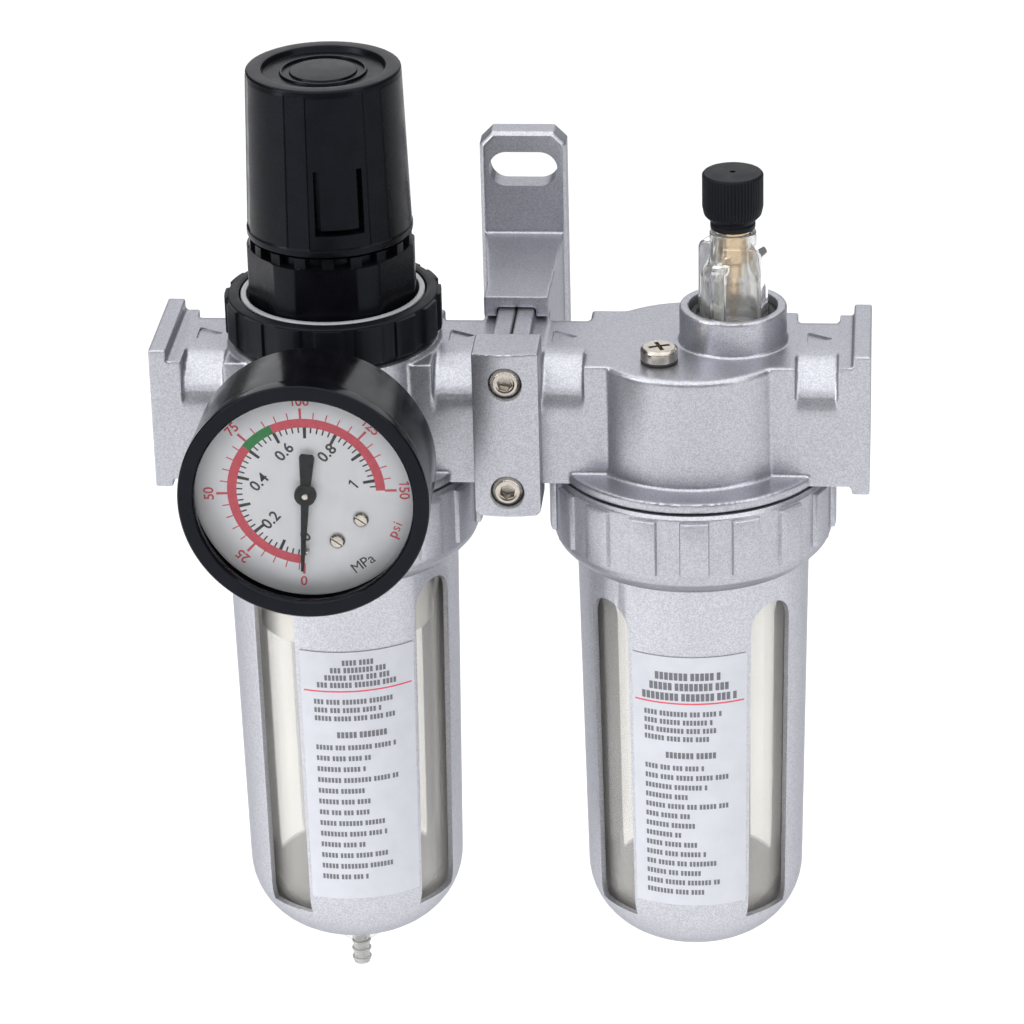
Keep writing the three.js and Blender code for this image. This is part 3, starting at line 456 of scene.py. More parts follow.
RUBBER = moulded("seal_rubber", (0.02, 0.02, 0.02), 0.6)
WHITE = moulded("white_nylon", (0.78, 0.78, 0.75), 0.5)
CLEAR = clear_plastic("clear_bowl", (0.93, 0.92, 0.895), 0.04, 0.87)
DOME_CLEAR = clear_plastic("clear_dome", (0.84, 0.84, 0.83), 0.06, 0.95)
MILKY = clear_plastic("milky_nipple", (0.60, 0.60, 0.585), 0.25, 0.5)
LENS = window_glass("gauge_glass")
DIAL = moulded("dial_enamel", (0.93, 0.94, 0.98), 0.45)
STICKER = moulded("sticker_film", (0.6, 0.61, 0.665), 0.35)
RED = ink("red_ink", (0.72, 0.07, 0.11))
GREEN = ink("green_ink", (0.0, 0.24, 0.04))
INK = ink("black_ink", (0.02, 0.02, 0.025))
GREY_INK = ink("grey_ink", (0.15, 0.15, 0.17))


def sintered():
    """Pressed powder of the filter element: coarse grains."""
    made = Material("sintered_powder", (0.78, 0.77, 0.72), 0.9)
    made.mottle(made.noise(0.8, 5.0), 0.85, 1.05)
    return made.bump(made.noise(0.5, 5.0), 0.15).made


# ---- the two cast bodies

BODY_HALF = (high("lubricator_body").x - low("lubricator_body").x) / 2
FLANGE_THICK = 4.1
FLANGE_HALF_HIGH = 17.2
COLLAR_WIDE = 3.3
NECK_HALF_DEEP = 16
NECK_TOP = 14.2
NECK_BOTTOM = -15.3
NECK_FRONT_R = 12
NECK_BACK_R = 6
SPIGOT_LOW = low("filter_body").z
PORT_R = 10.5
PORT_DEEP = 17
SCREW_Z = (middle("clamp_screw_upper").z, middle("clamp_screw_lower").z)
SCREW_HOLE_R = 2.3


def neck_outline():
    """The neck's section, across Y and Z: round upper corners, a flat bottom."""
    radii = (0, 0, NECK_BACK_R, NECK_FRONT_R)
    return oblong(-NECK_HALF_DEEP, NECK_HALF_DEEP, NECK_BOTTOM, NECK_TOP, radii, 12)


def along_x(outline, start, end):
    """An outline across (y, z), drawn out along X."""
    made = prism(outline, start, end)
    return moved(made, Matrix(((0, 0, 1, 0), (1, 0, 0, 0), (0, 1, 0, 0), (0, 0, 0, 1))))


def body_blank(x):
    """What both bodies are cut from: neck, flanges and their collars, barrel, and spigot for the bowl."""
    deep, tall = NECK_HALF_DEEP, FLANGE_HALF_HIGH
    inner = BODY_HALF - FLANGE_THICK
    base = along_x(neck_outline(), x - inner - 1, x + inner + 1)
    parts = []
    for side in (-1, 1):
        a, b = sorted((x + side * BODY_HALF, x + side * inner))
        parts.append(block(a, b, -deep, deep, -tall, tall))
        a, b = sorted((x + side * (inner + 1), x + side * (inner - COLLAR_WIDE)))
        parts.append(block(a, b, -deep, deep, NECK_BOTTOM, NECK_TOP + 0.2))
    parts.append(block(x - 24.2, x + 24.2, -deep, 18, NECK_BOTTOM, NECK_TOP))
    barrel = rounded([(0, NECK_BOTTOM), (32, NECK_BOTTOM, 0.5), (32, -12.8, 0.4), (24.75, -12.8, 0.8),
                      (24.6, NECK_TOP, 1.2), (0, NECK_TOP)])
    parts.append(lathe(barrel, at=(x, 0, 0)))
    parts.append(disc(28.9, SPIGOT_LOW, -14, at=(x, 0, 0)))
    return join(base, *parts)


def screw_holes(r, start, end):
    return [disc(r, start, end, at=(0, 0, z), axis="y", sides=32) for z in SCREW_Z]


def common_cuts(x):
    """Ports, the air passage, the bowl seat and the clamp screws' clearance."""
    return [
        disc(PORT_R, x - BODY_HALF - 1, x - BODY_HALF + PORT_DEEP, axis="x"),
        disc(PORT_R, x + BODY_HALF - PORT_DEEP, x + BODY_HALF + 1, axis="x"),
        disc(7.5, -20, 20, axis="x", sides=64),
        disc(25.2, SPIGOT_LOW - 1, -20, at=(x, 0, 0)),
        *screw_holes(SCREW_HOLE_R, -30, 30),
    ]


def flow_marks(x):
    """Cutters for the sunk triangles on the neck tops, which point along the air's way."""
    made = []
    for place in (x - 29.5, x + 29.5):
        outline = rounded([(place - 2.9, -1.6, 0.4), (place + 3.2, 2.0, 0.4), (place - 2.9, 5.6, 0.4)], 3)
        made.append(prism(outline, NECK_TOP - 0.5, NECK_TOP + 1))
    return made


def finish_body(node, x, made, cuts):
    made = cast(cut(made, *common_cuts(x), *cuts))
    stand_in(cut(made, *flow_marks(x)), node, "casting", PAINT, sharp=40)


def filter_body():
    """The filter's body, with the bonnet's seat, the regulator's valve way and the gauge's port."""
    x = FILTER_X
    made = join(body_blank(x), disc(24.5, 10, 15.4, **ON_FILTER), disc(22.2, 10, 21.2, **ON_FILTER))
    finish_body("filter_body", x, made, [
        disc(17, 2, 23, **ON_FILTER),
        disc(4.5, -6, 4, sides=48, **ON_FILTER),
        disc(8, -36, -4, sides=64, **ON_FILTER),
        disc(6, x - BODY_HALF, x - 17.5, axis="x", sides=48),
        disc(5, -22, 0, at=(x - 17.5, 0, 0), sides=48),
        disc(7.5, x + 12, 1, axis="x", sides=48),
        disc(5, -26, -17.3, sides=48, **ON_GAUGE),
    ])


def lubricator_body():
    """The lubricator's body, with the sight dome's boss, the filler's way and the oil's way up."""
    x = LUBE_X
    dome_x = ON_DOME["at"][0]
    made = join(body_blank(x), lathe(oblong(0, 12.4, 10, 22.9, (0, 0, 0.5, 0)), **ON_DOME))
    finish_body("lubricator_body", x, made, [
        disc(6.5, x - 24, x + 26, axis="x", sides=48),
        disc(10.3, 16, 24, **ON_DOME),
        disc(3.2, -22, 16, at=(*axis_of("fill_plug"), 0), sides=32),
        disc(2.3, -22, 8, at=(dome_x + 1.5, -9.5, 0), sides=32),
    ])


# ---- clamp and bracket

CLAMP_HALF_WIDE = 7.6
CLAMP_HALF_HIGH = 20.2
CLAMP_FRONT = -24
CROWN_RISE = 1.2


def channel(seat, lip, outside):
    """One clamp half: a plate with lips over the flanges and legs beside them."""
    y0, y1 = sorted((outside, lip))
    s0, s1 = sorted((seat, lip * 0.9))
    face = oblong(-CLAMP_HALF_WIDE, CLAMP_HALF_WIDE, -CLAMP_HALF_HIGH, CLAMP_HALF_HIGH, (1.5, 1.5, 0.5, 0.5))
    made = prism([(u, -v) for u, v in face], y0, y1, axis="y")
    return cut(made, block(-4.5, 4.5, s0, s1, -17.5, 17.5), block(-9, 9, s0, s1, NECK_BOTTOM, -NECK_BOTTOM))


def front_clamp():
    """The front half, with a crowned face and a countersunk hole for each screw."""
    made = channel(-16.3, -11, CLAMP_FRONT)
    crown_r = (CLAMP_HALF_WIDE**2 + CROWN_RISE**2) / (2 * CROWN_RISE)
    made = common(made, disc(crown_r, -22, 22, at=(0, CLAMP_FRONT + crown_r, 0), sides=256))
    made = cast(made, 0.3, 3)
    sink = rounded([(0, -25.5), (5.3, -25.5), (3.8, -23.4), (3.8, -19.1), (0, -19.1)])
    for z in SCREW_Z:
        made = cut(made, lathe(sink, even(64), at=(0, 0, z), axis="y"),
                   disc(SCREW_HOLE_R, -22, 0, at=(0, 0, z), axis="y", sides=48))
    stand_in(made, "front_clamp", "casting", PAINT, sharp=40)


def wall_bracket():
    """The rear half, its arm and the wall plate with chamfered upper corners and a slot."""
    left, right = low("wall_bracket").x, high("wall_bracket").x
    top = high("wall_bracket").z
    bottom = -CLAMP_HALF_HIGH
    wall = back_of("wall_bracket")
    face = wall - 6.4
    arm = prism([(-7.5, 20), (7.7, 20), (8.2, face + 0.5), (left + 0.9, face + 0.5)], bottom, -bottom)

    def level(inset, y):
        cut_back = 3 - inset * 0.41
        a, b, c = left + inset, right - inset, top - inset
        outline = [(a, bottom), (b, bottom), (b, c - cut_back), (b - cut_back, c), (a + cut_back, c),
                   (a, c - cut_back)]
        return [(u, y, v) for u, v in outline]

    plate = loft([level(0.9, face), level(0.0, face + 0.9), level(0.0, wall)])
    made = cast(join(channel(16.3, 11, 22), arm, plate), 0.34)
    slot_r, slot_z = 4.3, -36.8
    slot = []
    for shift, start in ((4.0, -90), (-4.0, 90)):
        for k in range(17):
            a = radians(start + k * 180 / 16)
            slot.append(((left + right) / 2 + shift + slot_r * cos(a), slot_z - slot_r * sin(a)))
    made = cut(made, prism(slot, face - 2, wall + 2, axis="y"), *screw_holes(2.1, 10, 26))
    stand_in(made, "wall_bracket", "casting", PAINT, sharp=40)


def hexagon(across, turn_deg=0):
    r = across / 2 / cos(pi / 6)
    turns = [a + radians(turn_deg) for a in even(6)]
    return [(r * cos(a), r * sin(a)) for a in turns]


def clamp_screw(node, turn_deg):
    """A socket head screw with a knurled head."""
    here = {"at": (0, 0, middle(node).z), "axis": "y"}
    face, end = front_of(node), back_of(node)
    head = rounded([(0, face + 0.15), (1.9, face + 0.15), (2.25, face, 0.1), (2.75, face, 0.2),
                    (3.5, face + 0.7, 0.2), (3.5, face + 4, 0.1), (2, face + 4), (2, end), (0, end)])
    knurl = lambda r, h, a: r + 0.07 * cos(36 * a) if 3.3 < r < 3.6 else r
    cone = [(0, face + 2.5), (1.6, face + 2.5), (1.6, face + 2.8), (0, face + 3.4)]
    socket = join(prism(hexagon(3.3, turn_deg), face - 1, face + 2.8, **here), lathe(cone, even(48), **here))
    stand_in(cut(lathe(head, even(144), knurl, **here), socket), node, "turned", NICKEL)


def seal_ring(node, section, body="unit", angles=None, **place):
    stand_in(lathe(section, angles, **place), node, "ring", RUBBER, body)


def seam_seal():
    seal_ring("seam_seal", oblong(8.2, 10.2, -0.1, 0.1), axis="x")


# ---- regulator

KNOB_TURN = 14.7 - 90


def beside(angle, count, turn_deg):
    """How far an angle is from the nearest of count even places, one of which is at turn_deg."""
    step = 2 * pi / count
    return (angle - radians(turn_deg) + step / 2) % step - step / 2


def pads(count, wide_deg, start_deg, ramp_deg=0.5):
    """Angles round a ring with raised pads, as a list of angles and the set of raised ones."""
    pitch = 360 / count
    half = wide_deg / 2
    marks = [(-half - ramp_deg, 0), (-half, 1), (-wide_deg / 4, 1), (0, 1), (wide_deg / 4, 1), (half, 1),
             (half + ramp_deg, 0), ((wide_deg + pitch) / 4 + ramp_deg / 2, 0), (pitch / 2, 0),
             (pitch / 2 + (pitch - wide_deg) / 4 - ramp_deg / 2, 0)]
    places = [(radians(start_deg + i * pitch + offset), up) for i in range(count) for offset, up in marks]
    return [angle for angle, up in places], {angle for angle, up in places if up}


def bonnet_nut():
    bottom, top = heights("bonnet_nut")
    angles, raised = pads(16, 14, 4 - 90)
    profile = rounded([(22.5, bottom), (23.4, bottom, 0.4), (24.4, bottom + 1.6, 0.6), (24.4, top - 0.4, 0.5),
                       (22.6, top, 0.3), (21.75, top - 0.2, 0.2), (21.75, 23.6), (22.5, 23.6)])
    shape = lambda r, h, a: r + 0.75 if a in raised and r > 23.9 and h < top - 0.55 else r
    made = bevelled(lathe(profile, angles, shape, **ON_FILTER), 0.12, 2, 50)
    stand_in(made, "bonnet_nut", "moulding", NUT_BLACK)


def bonnet():
    """Flange, waist with six flats, crown with locking slots, and the spring tube inside the knob."""
    crown_r, waist_top, tube_top = 18.8, 38.4, high("bonnet").z

    def shape(r, h, angle):
        if 23.5 < h < waist_top and r > 18.5:
            return min(18.0 / cos(beside(angle, 6, -87)), 19.35)
        if abs(r - crown_r) < 0.01 and 38.6 < h < 40.95 and abs(beside(angle, 18, KNOB_TURN)) < radians(5.6):
            return 16.9
        return r

    profile = [(12.6, 22.3), (22.15, 22.3), (22.15, 23.3), (19.3, 23.6), (19.3, 38.1), (19.0, 38.35),
               (18.85, 38.5), (crown_r, 38.65), (crown_r, 40.9), (18.7, 41.0), (15, 41.0), (15, tube_top),
               (4.3, tube_top), (4.3, tube_top - 3.5), (12.6, tube_top - 3.5)]
    stand_in(lathe(profile, even(360), shape, **ON_FILTER), "bonnet", "moulding", BLACK)


def bright_ring():
    section = oblong(19.95, 21.35, 23.6, high("bonnet_ring").z, (0, 0, 0.35, 0.35))
    keep(lathe(section, **ON_FILTER), "bonnet_bright_ring", "unit", ["bonnet_ring"], BRIGHT)


def knob():
    """A slight cone with six flats edged by grooves, a ringed top, a latch tab and a hexagonal hub."""
    bottom, top = heights("regulator_knob")
    side_low, side_high = bottom + 2.0, top - 1.4
    low_r, high_r = 18.95, 17.8
    cone = lambda h: low_r + (h - side_low) / (side_high - side_low) * (high_r - low_r)
    flat_half = radians(7.5)
    groove = radians(0.7)
    marks = [flat_half - groove * 0.6, flat_half, flat_half + groove, flat_half + groove * 2]
    panel = radians(45) - groove * 4
    places = [-mark for mark in reversed(marks)] + [0, *marks]
    places += [flat_half + groove * 2 + panel * k / 15 for k in range(1, 15)]
    angles = [radians(KNOB_TURN + (i + 0.5) * 60) + place for i in range(6) for place in places]

    def shape(r, h, angle):
        if r < 16.8 or h < side_low - 0.1 or h > side_high + 0.1:
            return r
        local = abs(beside(angle, 6, KNOB_TURN + 30))
        if local <= flat_half + 1e-6:
            return cone(h) * cos(flat_half) / cos(local) - 0.12
        return cone(h) - (0.28 if local <= flat_half + groove * 1.05 else 0)

    profile = rounded([(15.8, bottom), (19.15, bottom, 0.25), (19.15, bottom + 1.5, 0.2),
                       (18.6, side_low - 0.1)])
    profile += [(low_r, side_low + 0.1), (18.9, side_low + 1), (18.5, 55), (18.2, 68),
                (high_r, side_high - 0.6), (high_r, side_high)]
    profile += rounded([(17.75, side_high + 0.15), (17.7, top, 1.3), (14.2, top, 0.4), (13.7, top - 1.3, 0.2),
                        (10.1, top - 1.3), (9.9, top - 0.75, 0.15), (9.4, top - 0.75, 0.15), (9.3, top - 1.3),
                        (7.8, top - 1.3), (7.6, top - 0.85, 0.2), (0.0, top - 0.8)])[:-1]
    profile += [(0.0, top - 0.8), (0.0, 77.4), (15.8, 77.4)]
    made = lathe(list(dict.fromkeys(profile)), angles, shape)
    for start, end, slot_top in ((-17.5, 17.5, 48.0), (-17.5, -13.3, 62.0), (13.3, 17.5, 62.0)):
        made = cut(made, sector(16.2, 21, KNOB_TURN + start, KNOB_TURN + end, 46.6, slot_top))
    hub = cut(disc(8, 73.9, 77.6, sides=64), prism(hexagon(9.4, 30), 73, 76.6))
    made = moved(join(made, hub), Matrix.Translation(ON_FILTER["at"]))
    stand_in(made, "regulator_knob", "moulding", BLACK, "knob", 28)


# ---- gauge

def gauge_shell():
    """The case, the bezel and the lens."""
    front = GAUGE_FRONT
    case = rounded([(0, -38), (25.2, -38, 2.2), (27.4, -41.5, 1.5), (27.7, front + 4.2), (25.9, front + 4.2),
                    (25.9, -40), (0, -40)])
    made = cut(lathe(case, even(160), **ON_GAUGE), disc(3.6, -42, -36, sides=48, **ON_GAUGE))
    stand_in(made, "gauge_case", "shell", GLOSS_BLACK)
    bezel = rounded([(24.35, front + 0.7, 0.1), (24.8, front + 0.05, 0.2), (27.7, front, 0.15),
                     (28.05, front + 0.35, 0.2), (28.05, front + 3.9, 0.4), (26.2, front + 3.9),
                     (26.2, front + 2.1), (24.35, front + 2.1)])
    stand_in(lathe(bezel, even(192), **ON_GAUGE), "gauge_bezel", "ring", GLOSS_BLACK)
    lens = oblong(0, 25.7, front + 2.35, front + 3.25, (0, 0.2, 0.2, 0))
    stand_in(lathe(lens, **ON_GAUGE), "gauge_lens", "disc", LENS)


DIAL_TURN = -46.8
BAND_INNER = 15.6
BAND_OUTER = 17.7


def dial_spot(r, deg, lift=0.0):
    """A point on the dial by its printed angle, clockwise from the print's own top."""
    a = radians(deg + DIAL_TURN)
    return Vector((FILTER_X + r * sin(a), DIAL_Y - lift, GAUGE_Z + r * cos(a)))


def dial_arc(inner, outer, start, end, lift=0.03, steps=60):
    """A raised band on the dial, between two radii and two printed angles."""
    rows = []
    for k in range(steps + 1):
        deg = start + (end - start) * k / steps
        rows.append([dial_spot(r, deg, up) for r, up in
                     ((inner, lift), (outer, lift), (outer, -0.02), (inner, -0.02))])
    return loft(rows)


def dial_tick(inner, outer, deg, wide):
    half = degrees(wide / 2 / ((inner + outer) / 2))
    return dial_arc(inner, outer, deg - half, deg + half, 0.035, 1)


def glyph(sign, size):
    """One raised sign, size millimetres tall, centred on the origin. A one gets its flag here."""
    half_thick = 0.02
    if sign == "1":
        outline = [(-0.03, -0.5), (0.12, -0.5), (0.12, 0.5), (0.0, 0.5), (-0.24, 0.34), (-0.24, 0.19),
                   (-0.03, 0.3)]
        return prism([(u * size, v * size) for u, v in outline], -half_thick, half_thick)
    curve = bpy.data.curves.new("glyph", "FONT")
    curve.body = sign
    curve.size = size * 1.38
    curve.align_x = "CENTER"
    curve.extrude = half_thick
    curve.offset = (0.0 if sign in "MPasi" else 0.022) * size
    text = placed("glyph", curve)
    mesh = evaluated(text)
    bpy.data.objects.remove(text)
    return moved(placed("glyph", mesh), Matrix.Translation((0, -size / 2, 0)))


def dial_text(words, r, deg, size, lean_deg):
    """Numbers or a unit printed on the dial. lean_deg turns them clockwise from the print's own upright."""
    advance = {".": 0.36, "1": 0.58, "i": 0.34, "M": 0.98, "P": 0.72, "a": 0.62}
    wide = [advance.get(sign, 0.68) * size for sign in words]
    signs = []
    reach = -sum(wide) / 2
    for sign, room in zip(words, wide):
        signs.append(moved(glyph(sign, size), Matrix.Translation((reach + room / 2, 0, 0))))
        reach += room
    upright = Matrix.Rotation(radians(90), 4, "X")
    lean = Matrix.Rotation(radians(lean_deg + DIAL_TURN), 4, "Y")
    return moved(gather(signs), Matrix.Translation(dial_spot(r, deg, 0.03)) @ lean @ upright)


PSI_SPAN = 150
SWEEP = 270
ZERO_DEG = -129.5
PSI_PER_MPA = 145.04


def psi_deg(psi):
    """Where a pressure is printed. The scale is even, but its zero mark stands a little above its place."""
    return max(ZERO_DEG, SWEEP * (psi / PSI_SPAN - 0.5))


def mpa_deg(mpa):
    return psi_deg(mpa * PSI_PER_MPA)


def gauge_dial():
    """The dial's plate and its print: psi and two bands in red, a green band between them, MPa in black."""
    plate = oblong(0, 25.4, DIAL_Y, DIAL_Y + 0.6, (0, 0.1, 0.1, 0), 2)
    made = cut(lathe(plate, **ON_GAUGE), disc(1.3, DIAL_Y - 1, DIAL_Y + 2, sides=48, **ON_GAUGE))
    stand_in(made, "gauge_dial", "plate", DIAL)
    red = [dial_arc(BAND_INNER, BAND_OUTER, psi_deg(0), mpa_deg(0.5)),
           dial_arc(BAND_INNER, BAND_OUTER, mpa_deg(0.6), psi_deg(PSI_SPAN))]
    for psi in range(0, PSI_SPAN + 1, 5):
        tall = psi % 25 == 0
        red.append(dial_tick(17.6, 20.2 if tall else 19.3, psi_deg(psi), 0.55 if tall else 0.26))
    for psi in range(0, PSI_SPAN + 1, 25):
        red.append(dial_text(str(psi), 22.0, psi_deg(psi), 2.3, psi_deg(psi)))
    red.append(dial_text("psi", 21.3, 161.5, 2.4, 161.5 - 180))
    keep(gather(red), "gauge_dial_red_print", "unit", [], RED, 60)
    green = dial_arc(BAND_INNER, 17.75, mpa_deg(0.5), mpa_deg(0.6), 0.035, 12)
    keep(green, "gauge_dial_green_print", "unit", [], GREEN, 60)
    black = []
    for i in range(52):
        tall = i % 5 == 0
        black.append(dial_tick(13.0 if tall else 14.3, BAND_INNER, mpa_deg(i * 0.02), 0.7 if tall else 0.33))
    for i, words in enumerate(("0", "0.2", "0.4", "0.6", "0.8", "1")):
        black.append(dial_text(words, 10.8, mpa_deg(i * 0.2), 2.6, 0))
    black.append(dial_text("MPa", 21.0, 192, 2.5, 192 - 180))
    keep(gather(black), "gauge_dial_black_print", "unit", [], INK, 60)


NEEDLE_REST = 4.4


def gauge_needle():
    """The pointer with its hub, arbor and pinion, and the bright pin at its middle."""
    y = DIAL_Y - 2
    half = [(0.33, -18.8), (1.0, 0), (1.7, 9.2), (1.3, 9.9)]
    blade = [(-0.33, -18.8), *half, *[(-u, v) for u, v in reversed(half[1:])]]
    made = bevelled(prism([(u, -v) for u, v in blade], y, y + 0.45, axis="y"), 0.08)
    rest = Matrix.Rotation(radians(NEEDLE_REST), 4, "Y")
    moved(made, Matrix.Translation(ON_GAUGE["at"]) @ rest)
    hub = rounded([(0, y - 0.7), (2.4, y - 0.65, 0.25), (2.5, y + 0.6), (0, y + 0.6)])
    made = join(made, lathe(hub, even(64), **ON_GAUGE), disc(0.9, y, DIAL_Y + 9, sides=24, **ON_GAUGE),
                disc(2, DIAL_Y + 4, DIAL_Y + 7, sides=40, **ON_GAUGE))
    keep(made, "gauge_pointer", "needle", ["gauge_needle"], NEEDLE_BLACK)
    pin = rounded([(0, y - 1.0), (0.75, y - 0.95, 0.2), (0.8, y - 0.5), (0, y - 0.5)])
    keep(lathe(pin, even(32), **ON_GAUGE), "gauge_pointer_pin", "needle", [], NICKEL)


def small_screw(node):
    """A round-headed screw with a slot."""
    spot = middle(node)
    y = front_of(node)
    head = rounded([(0, y), (1.35, y + 0.05, 0.3), (1.75, y + 0.45, 0.2), (1.75, y + 0.9), (0, y + 0.9)])
    slot = block(-2, 2, y - 1, y + 0.35, -0.22, 0.22)
    moved(slot, Matrix.Translation((spot.x, 0, spot.z)) @ Matrix.Rotation(radians(35), 4, "Y"))
    made = cut(lathe(head, even(48), at=(spot.x, 0, spot.z), axis="y"), slot)
    stand_in(made, node, "turned", NICKEL)


def stop_pin():
    spot = middle("gauge_stop_pin")
    y = front_of("gauge_stop_pin")
    profile = oblong(0, 0.38, y, y + 1.5, (0, 0.15, 0, 0))
    made = lathe(profile, even(24), at=(spot.x, 0, spot.z), axis="y")
    stand_in(made, "gauge_stop_pin", "turned", NICKEL)


def gauge_stem():
    """The stem, with its hexagon, thread ridges and bore, and its washer."""
    hex_block = bevelled(prism(hexagon(14), -37.7, -28.7, **ON_GAUGE), 0.4)
    thread = [point for i in range(9) for point in ((4.75, i - 26.6), (4.3, i - 26.6 + 0.5))]
    profile = [(0, -33), (4.7, -33), *thread, (4.2, -17.7), (0, -17.7)]
    made = join(hex_block, lathe(profile, even(64), **ON_GAUGE), disc(3.3, -39.6, -36, sides=48, **ON_GAUGE))
    made = cut(made, disc(1.2, -45, 0, sides=32, **ON_GAUGE))
    stand_in(made, "gauge_stem", "turned", BRASS)
    washer = oblong(5, 8.2, front_of("gauge_washer"), back_of("gauge_washer"), (0, 0.6, 0.6, 0))
    seal_ring("gauge_washer", washer, **ON_GAUGE)


# ---- bowls, guards and rings

GUARD_TOP = -32.5
GUARD_BOTTOM = -138.5
GUARD_TOP_R = 27.3
GUARD_LOW_R = 25.9
GUARD_BEND = 17.5
GUARD_WALL = 1.4
WINDOW_BOTTOM = -126.2
WINDOW_HALF = GUARD_TOP_R * sin(radians(12.75))
RING_R = 32.6


def bowl_ring(node, x, body):
    """A ring nut with 17 raised pads."""
    bottom, top = heights(node)
    straight = bottom + 5.5
    angles, raised = pads(17, 11, 3.1 - 90)
    pad_top, pad_low = top - 1.45, straight + 0.1
    outside = rounded([(29.2, top), (31.9, top, 0.3), (32.55, top - 0.8, 0.6), (RING_R, pad_top + 0.1)])
    outside += [(RING_R, h) for h in (pad_top, pad_top - 0.15, pad_low + 0.4, pad_low)]
    outside += rounded([(RING_R, straight), (32.55, straight - 0.8, 1.5), (31.9, straight - 2.4, 2),
                        (30.2, straight - 4.3, 2), (28.8, bottom, 0.4), (27.8, bottom), (27.8, -34.4),
                        (29.2, -34.4)], 6)

    def shape(r, h, angle):
        if angle not in raised or r < RING_R - 0.01 or not pad_low - 0.01 < h < pad_top + 0.01:
            return r
        if h > pad_top - 0.01:
            return r + 0.8
        return r + min(1.0, (h - pad_low) / 0.4)

    made = bevelled(lathe(outside, angles, shape, at=(x, 0, 0)), 0.14, 2, 48)
    stand_in(made, node, "casting", PAINT, body, 30)


def cup(top_r, low_r, top, bottom, bend, steps=14):
    """The outline of a round-bottomed cup from the middle of its floor up to its rim."""
    points = [(0, bottom)]
    for k in range(steps + 1):
        a = pi / 2 * k / steps
        points.append((low_r - bend + bend * sin(a), bottom + bend - bend * cos(a)))
    for k in range(1, 7):
        t = k / 6
        points.append((low_r + (top_r - low_r) * t, bottom + bend + (top - bottom - bend) * t))
    return points


def window_cutter(half, z_low, z_high):
    """A tall opening with a round head, drawn outwards along +X."""
    outline = [(-half, z_low), (half, z_low)]
    for k in range(17):
        a = pi * k / 16
        outline.append((half * cos(a), z_high - half + half * sin(a)))
    return along_x(outline, 5, 40)


def guard(node, x, turn_deg, hole_r, body, window_top):
    """The metal guard, with a hole for the drain and four tall windows."""
    outer = cup(GUARD_TOP_R, GUARD_LOW_R, GUARD_TOP, GUARD_BOTTOM, GUARD_BEND)
    inner = cup(GUARD_TOP_R - GUARD_WALL, GUARD_LOW_R - GUARD_WALL, GUARD_TOP, GUARD_BOTTOM + GUARD_WALL,
                GUARD_BEND - GUARD_WALL)
    flange_low, flange_r = GUARD_TOP - 1.7, 28.65
    flange = [(GUARD_TOP_R, flange_low), (flange_r, flange_low), (flange_r, GUARD_TOP)]
    made = lathe(outer[:-1] + flange + list(reversed(inner)), even(160))
    made = cut(made, disc(hole_r, GUARD_BOTTOM - 1, GUARD_BOTTOM + 4, sides=64))
    for i in range(4):
        opening = window_cutter(WINDOW_HALF, WINDOW_BOTTOM, window_top)
        made = cut(made, moved(opening, Matrix.Rotation(radians(-45 + turn_deg + 90 * i), 4, "Z")))
    made = moved(bevelled(made, 0.32, 3, 38), Matrix.Translation((x, 0, 0)))
    stand_in(made, node, "shell", GUARD_PAINT, body, 35)


def bowl(node, x, drilled, body):
    """The clear bowl with its flange, seal groove and round bottom, and its seal."""
    low_r, top_r, wall, bend = 23.2, 24.4, 2.5, 15
    bottom, top = heights(node)
    outer = cup(top_r, low_r, -33.2, bottom, bend)
    upper = [(24.8, -32.8), (28.5, -32.25), (28.65, -32.0), (28.65, -30.6), (28.5, -30.45), (24.7, -30.35),
             (24.6, -29.8), (24.6, -25.4), (23.4, -25.4), (23.4, -22.8), (24.6, -22.8), (24.6, top + 0.4),
             (24.2, top), (22.2, top)]
    inner = cup(top_r - wall, low_r - wall, top - 0.4, bottom + wall, bend - wall)
    made = lathe(outer + upper + list(reversed(inner)), even(144))
    if drilled:
        made = cut(made, disc(2, bottom - 2, bottom + wall + 2, sides=48))
    stand_in(moved(made, Matrix.Translation((x, 0, 0))), node, "moulding", CLEAR, body, 50)
    seal_ring(node + "_seal", oblong(23.6, 24.8, -25.1, -23.1, (0.6, 0.8, 0.8, 0.6)), body, at=(x, 0, 0))


def guard_radius(z):
    """The guard's outer radius at a height."""
    share = (z - GUARD_BOTTOM - GUARD_BEND) / (GUARD_TOP - GUARD_BOTTOM - GUARD_BEND)
    return GUARD_LOW_R + share * (GUARD_TOP_R - GUARD_LOW_R)


def patch(x, turn_deg, left, right, z0, z1, lift, back, steps=24):
    """A thin sheet bent round a guard, between two angles from its front, in degrees, to the right."""
    rows = []
    for k in range(steps + 1):
        a = radians(-90 + turn_deg + left + (right - left) * k / steps)
        corners = [(guard_radius(z) + out, z) for z, out in ((z0, lift), (z1, lift), (z1, back), (z0, back))]
        rows.append([(x + r * cos(a), r * sin(a), z) for r, z in corners])
    return loft(rows)


def word_bars(x, turn_deg, z, tall, left, right, rng):
    """A line of small blocks, grouped as words are, in place of print."""
    made = []
    start = left
    room = 0.95 * tall
    while start < right - room:
        for _ in range(rng.randint(3, 8)):
            if start + room > right:
                break
            made.append(patch(x, turn_deg, start, start + room, z - tall / 2, z + tall / 2, 0.34, 0.26, 1))
            start += room + 0.55
        start += 1.0
    return made


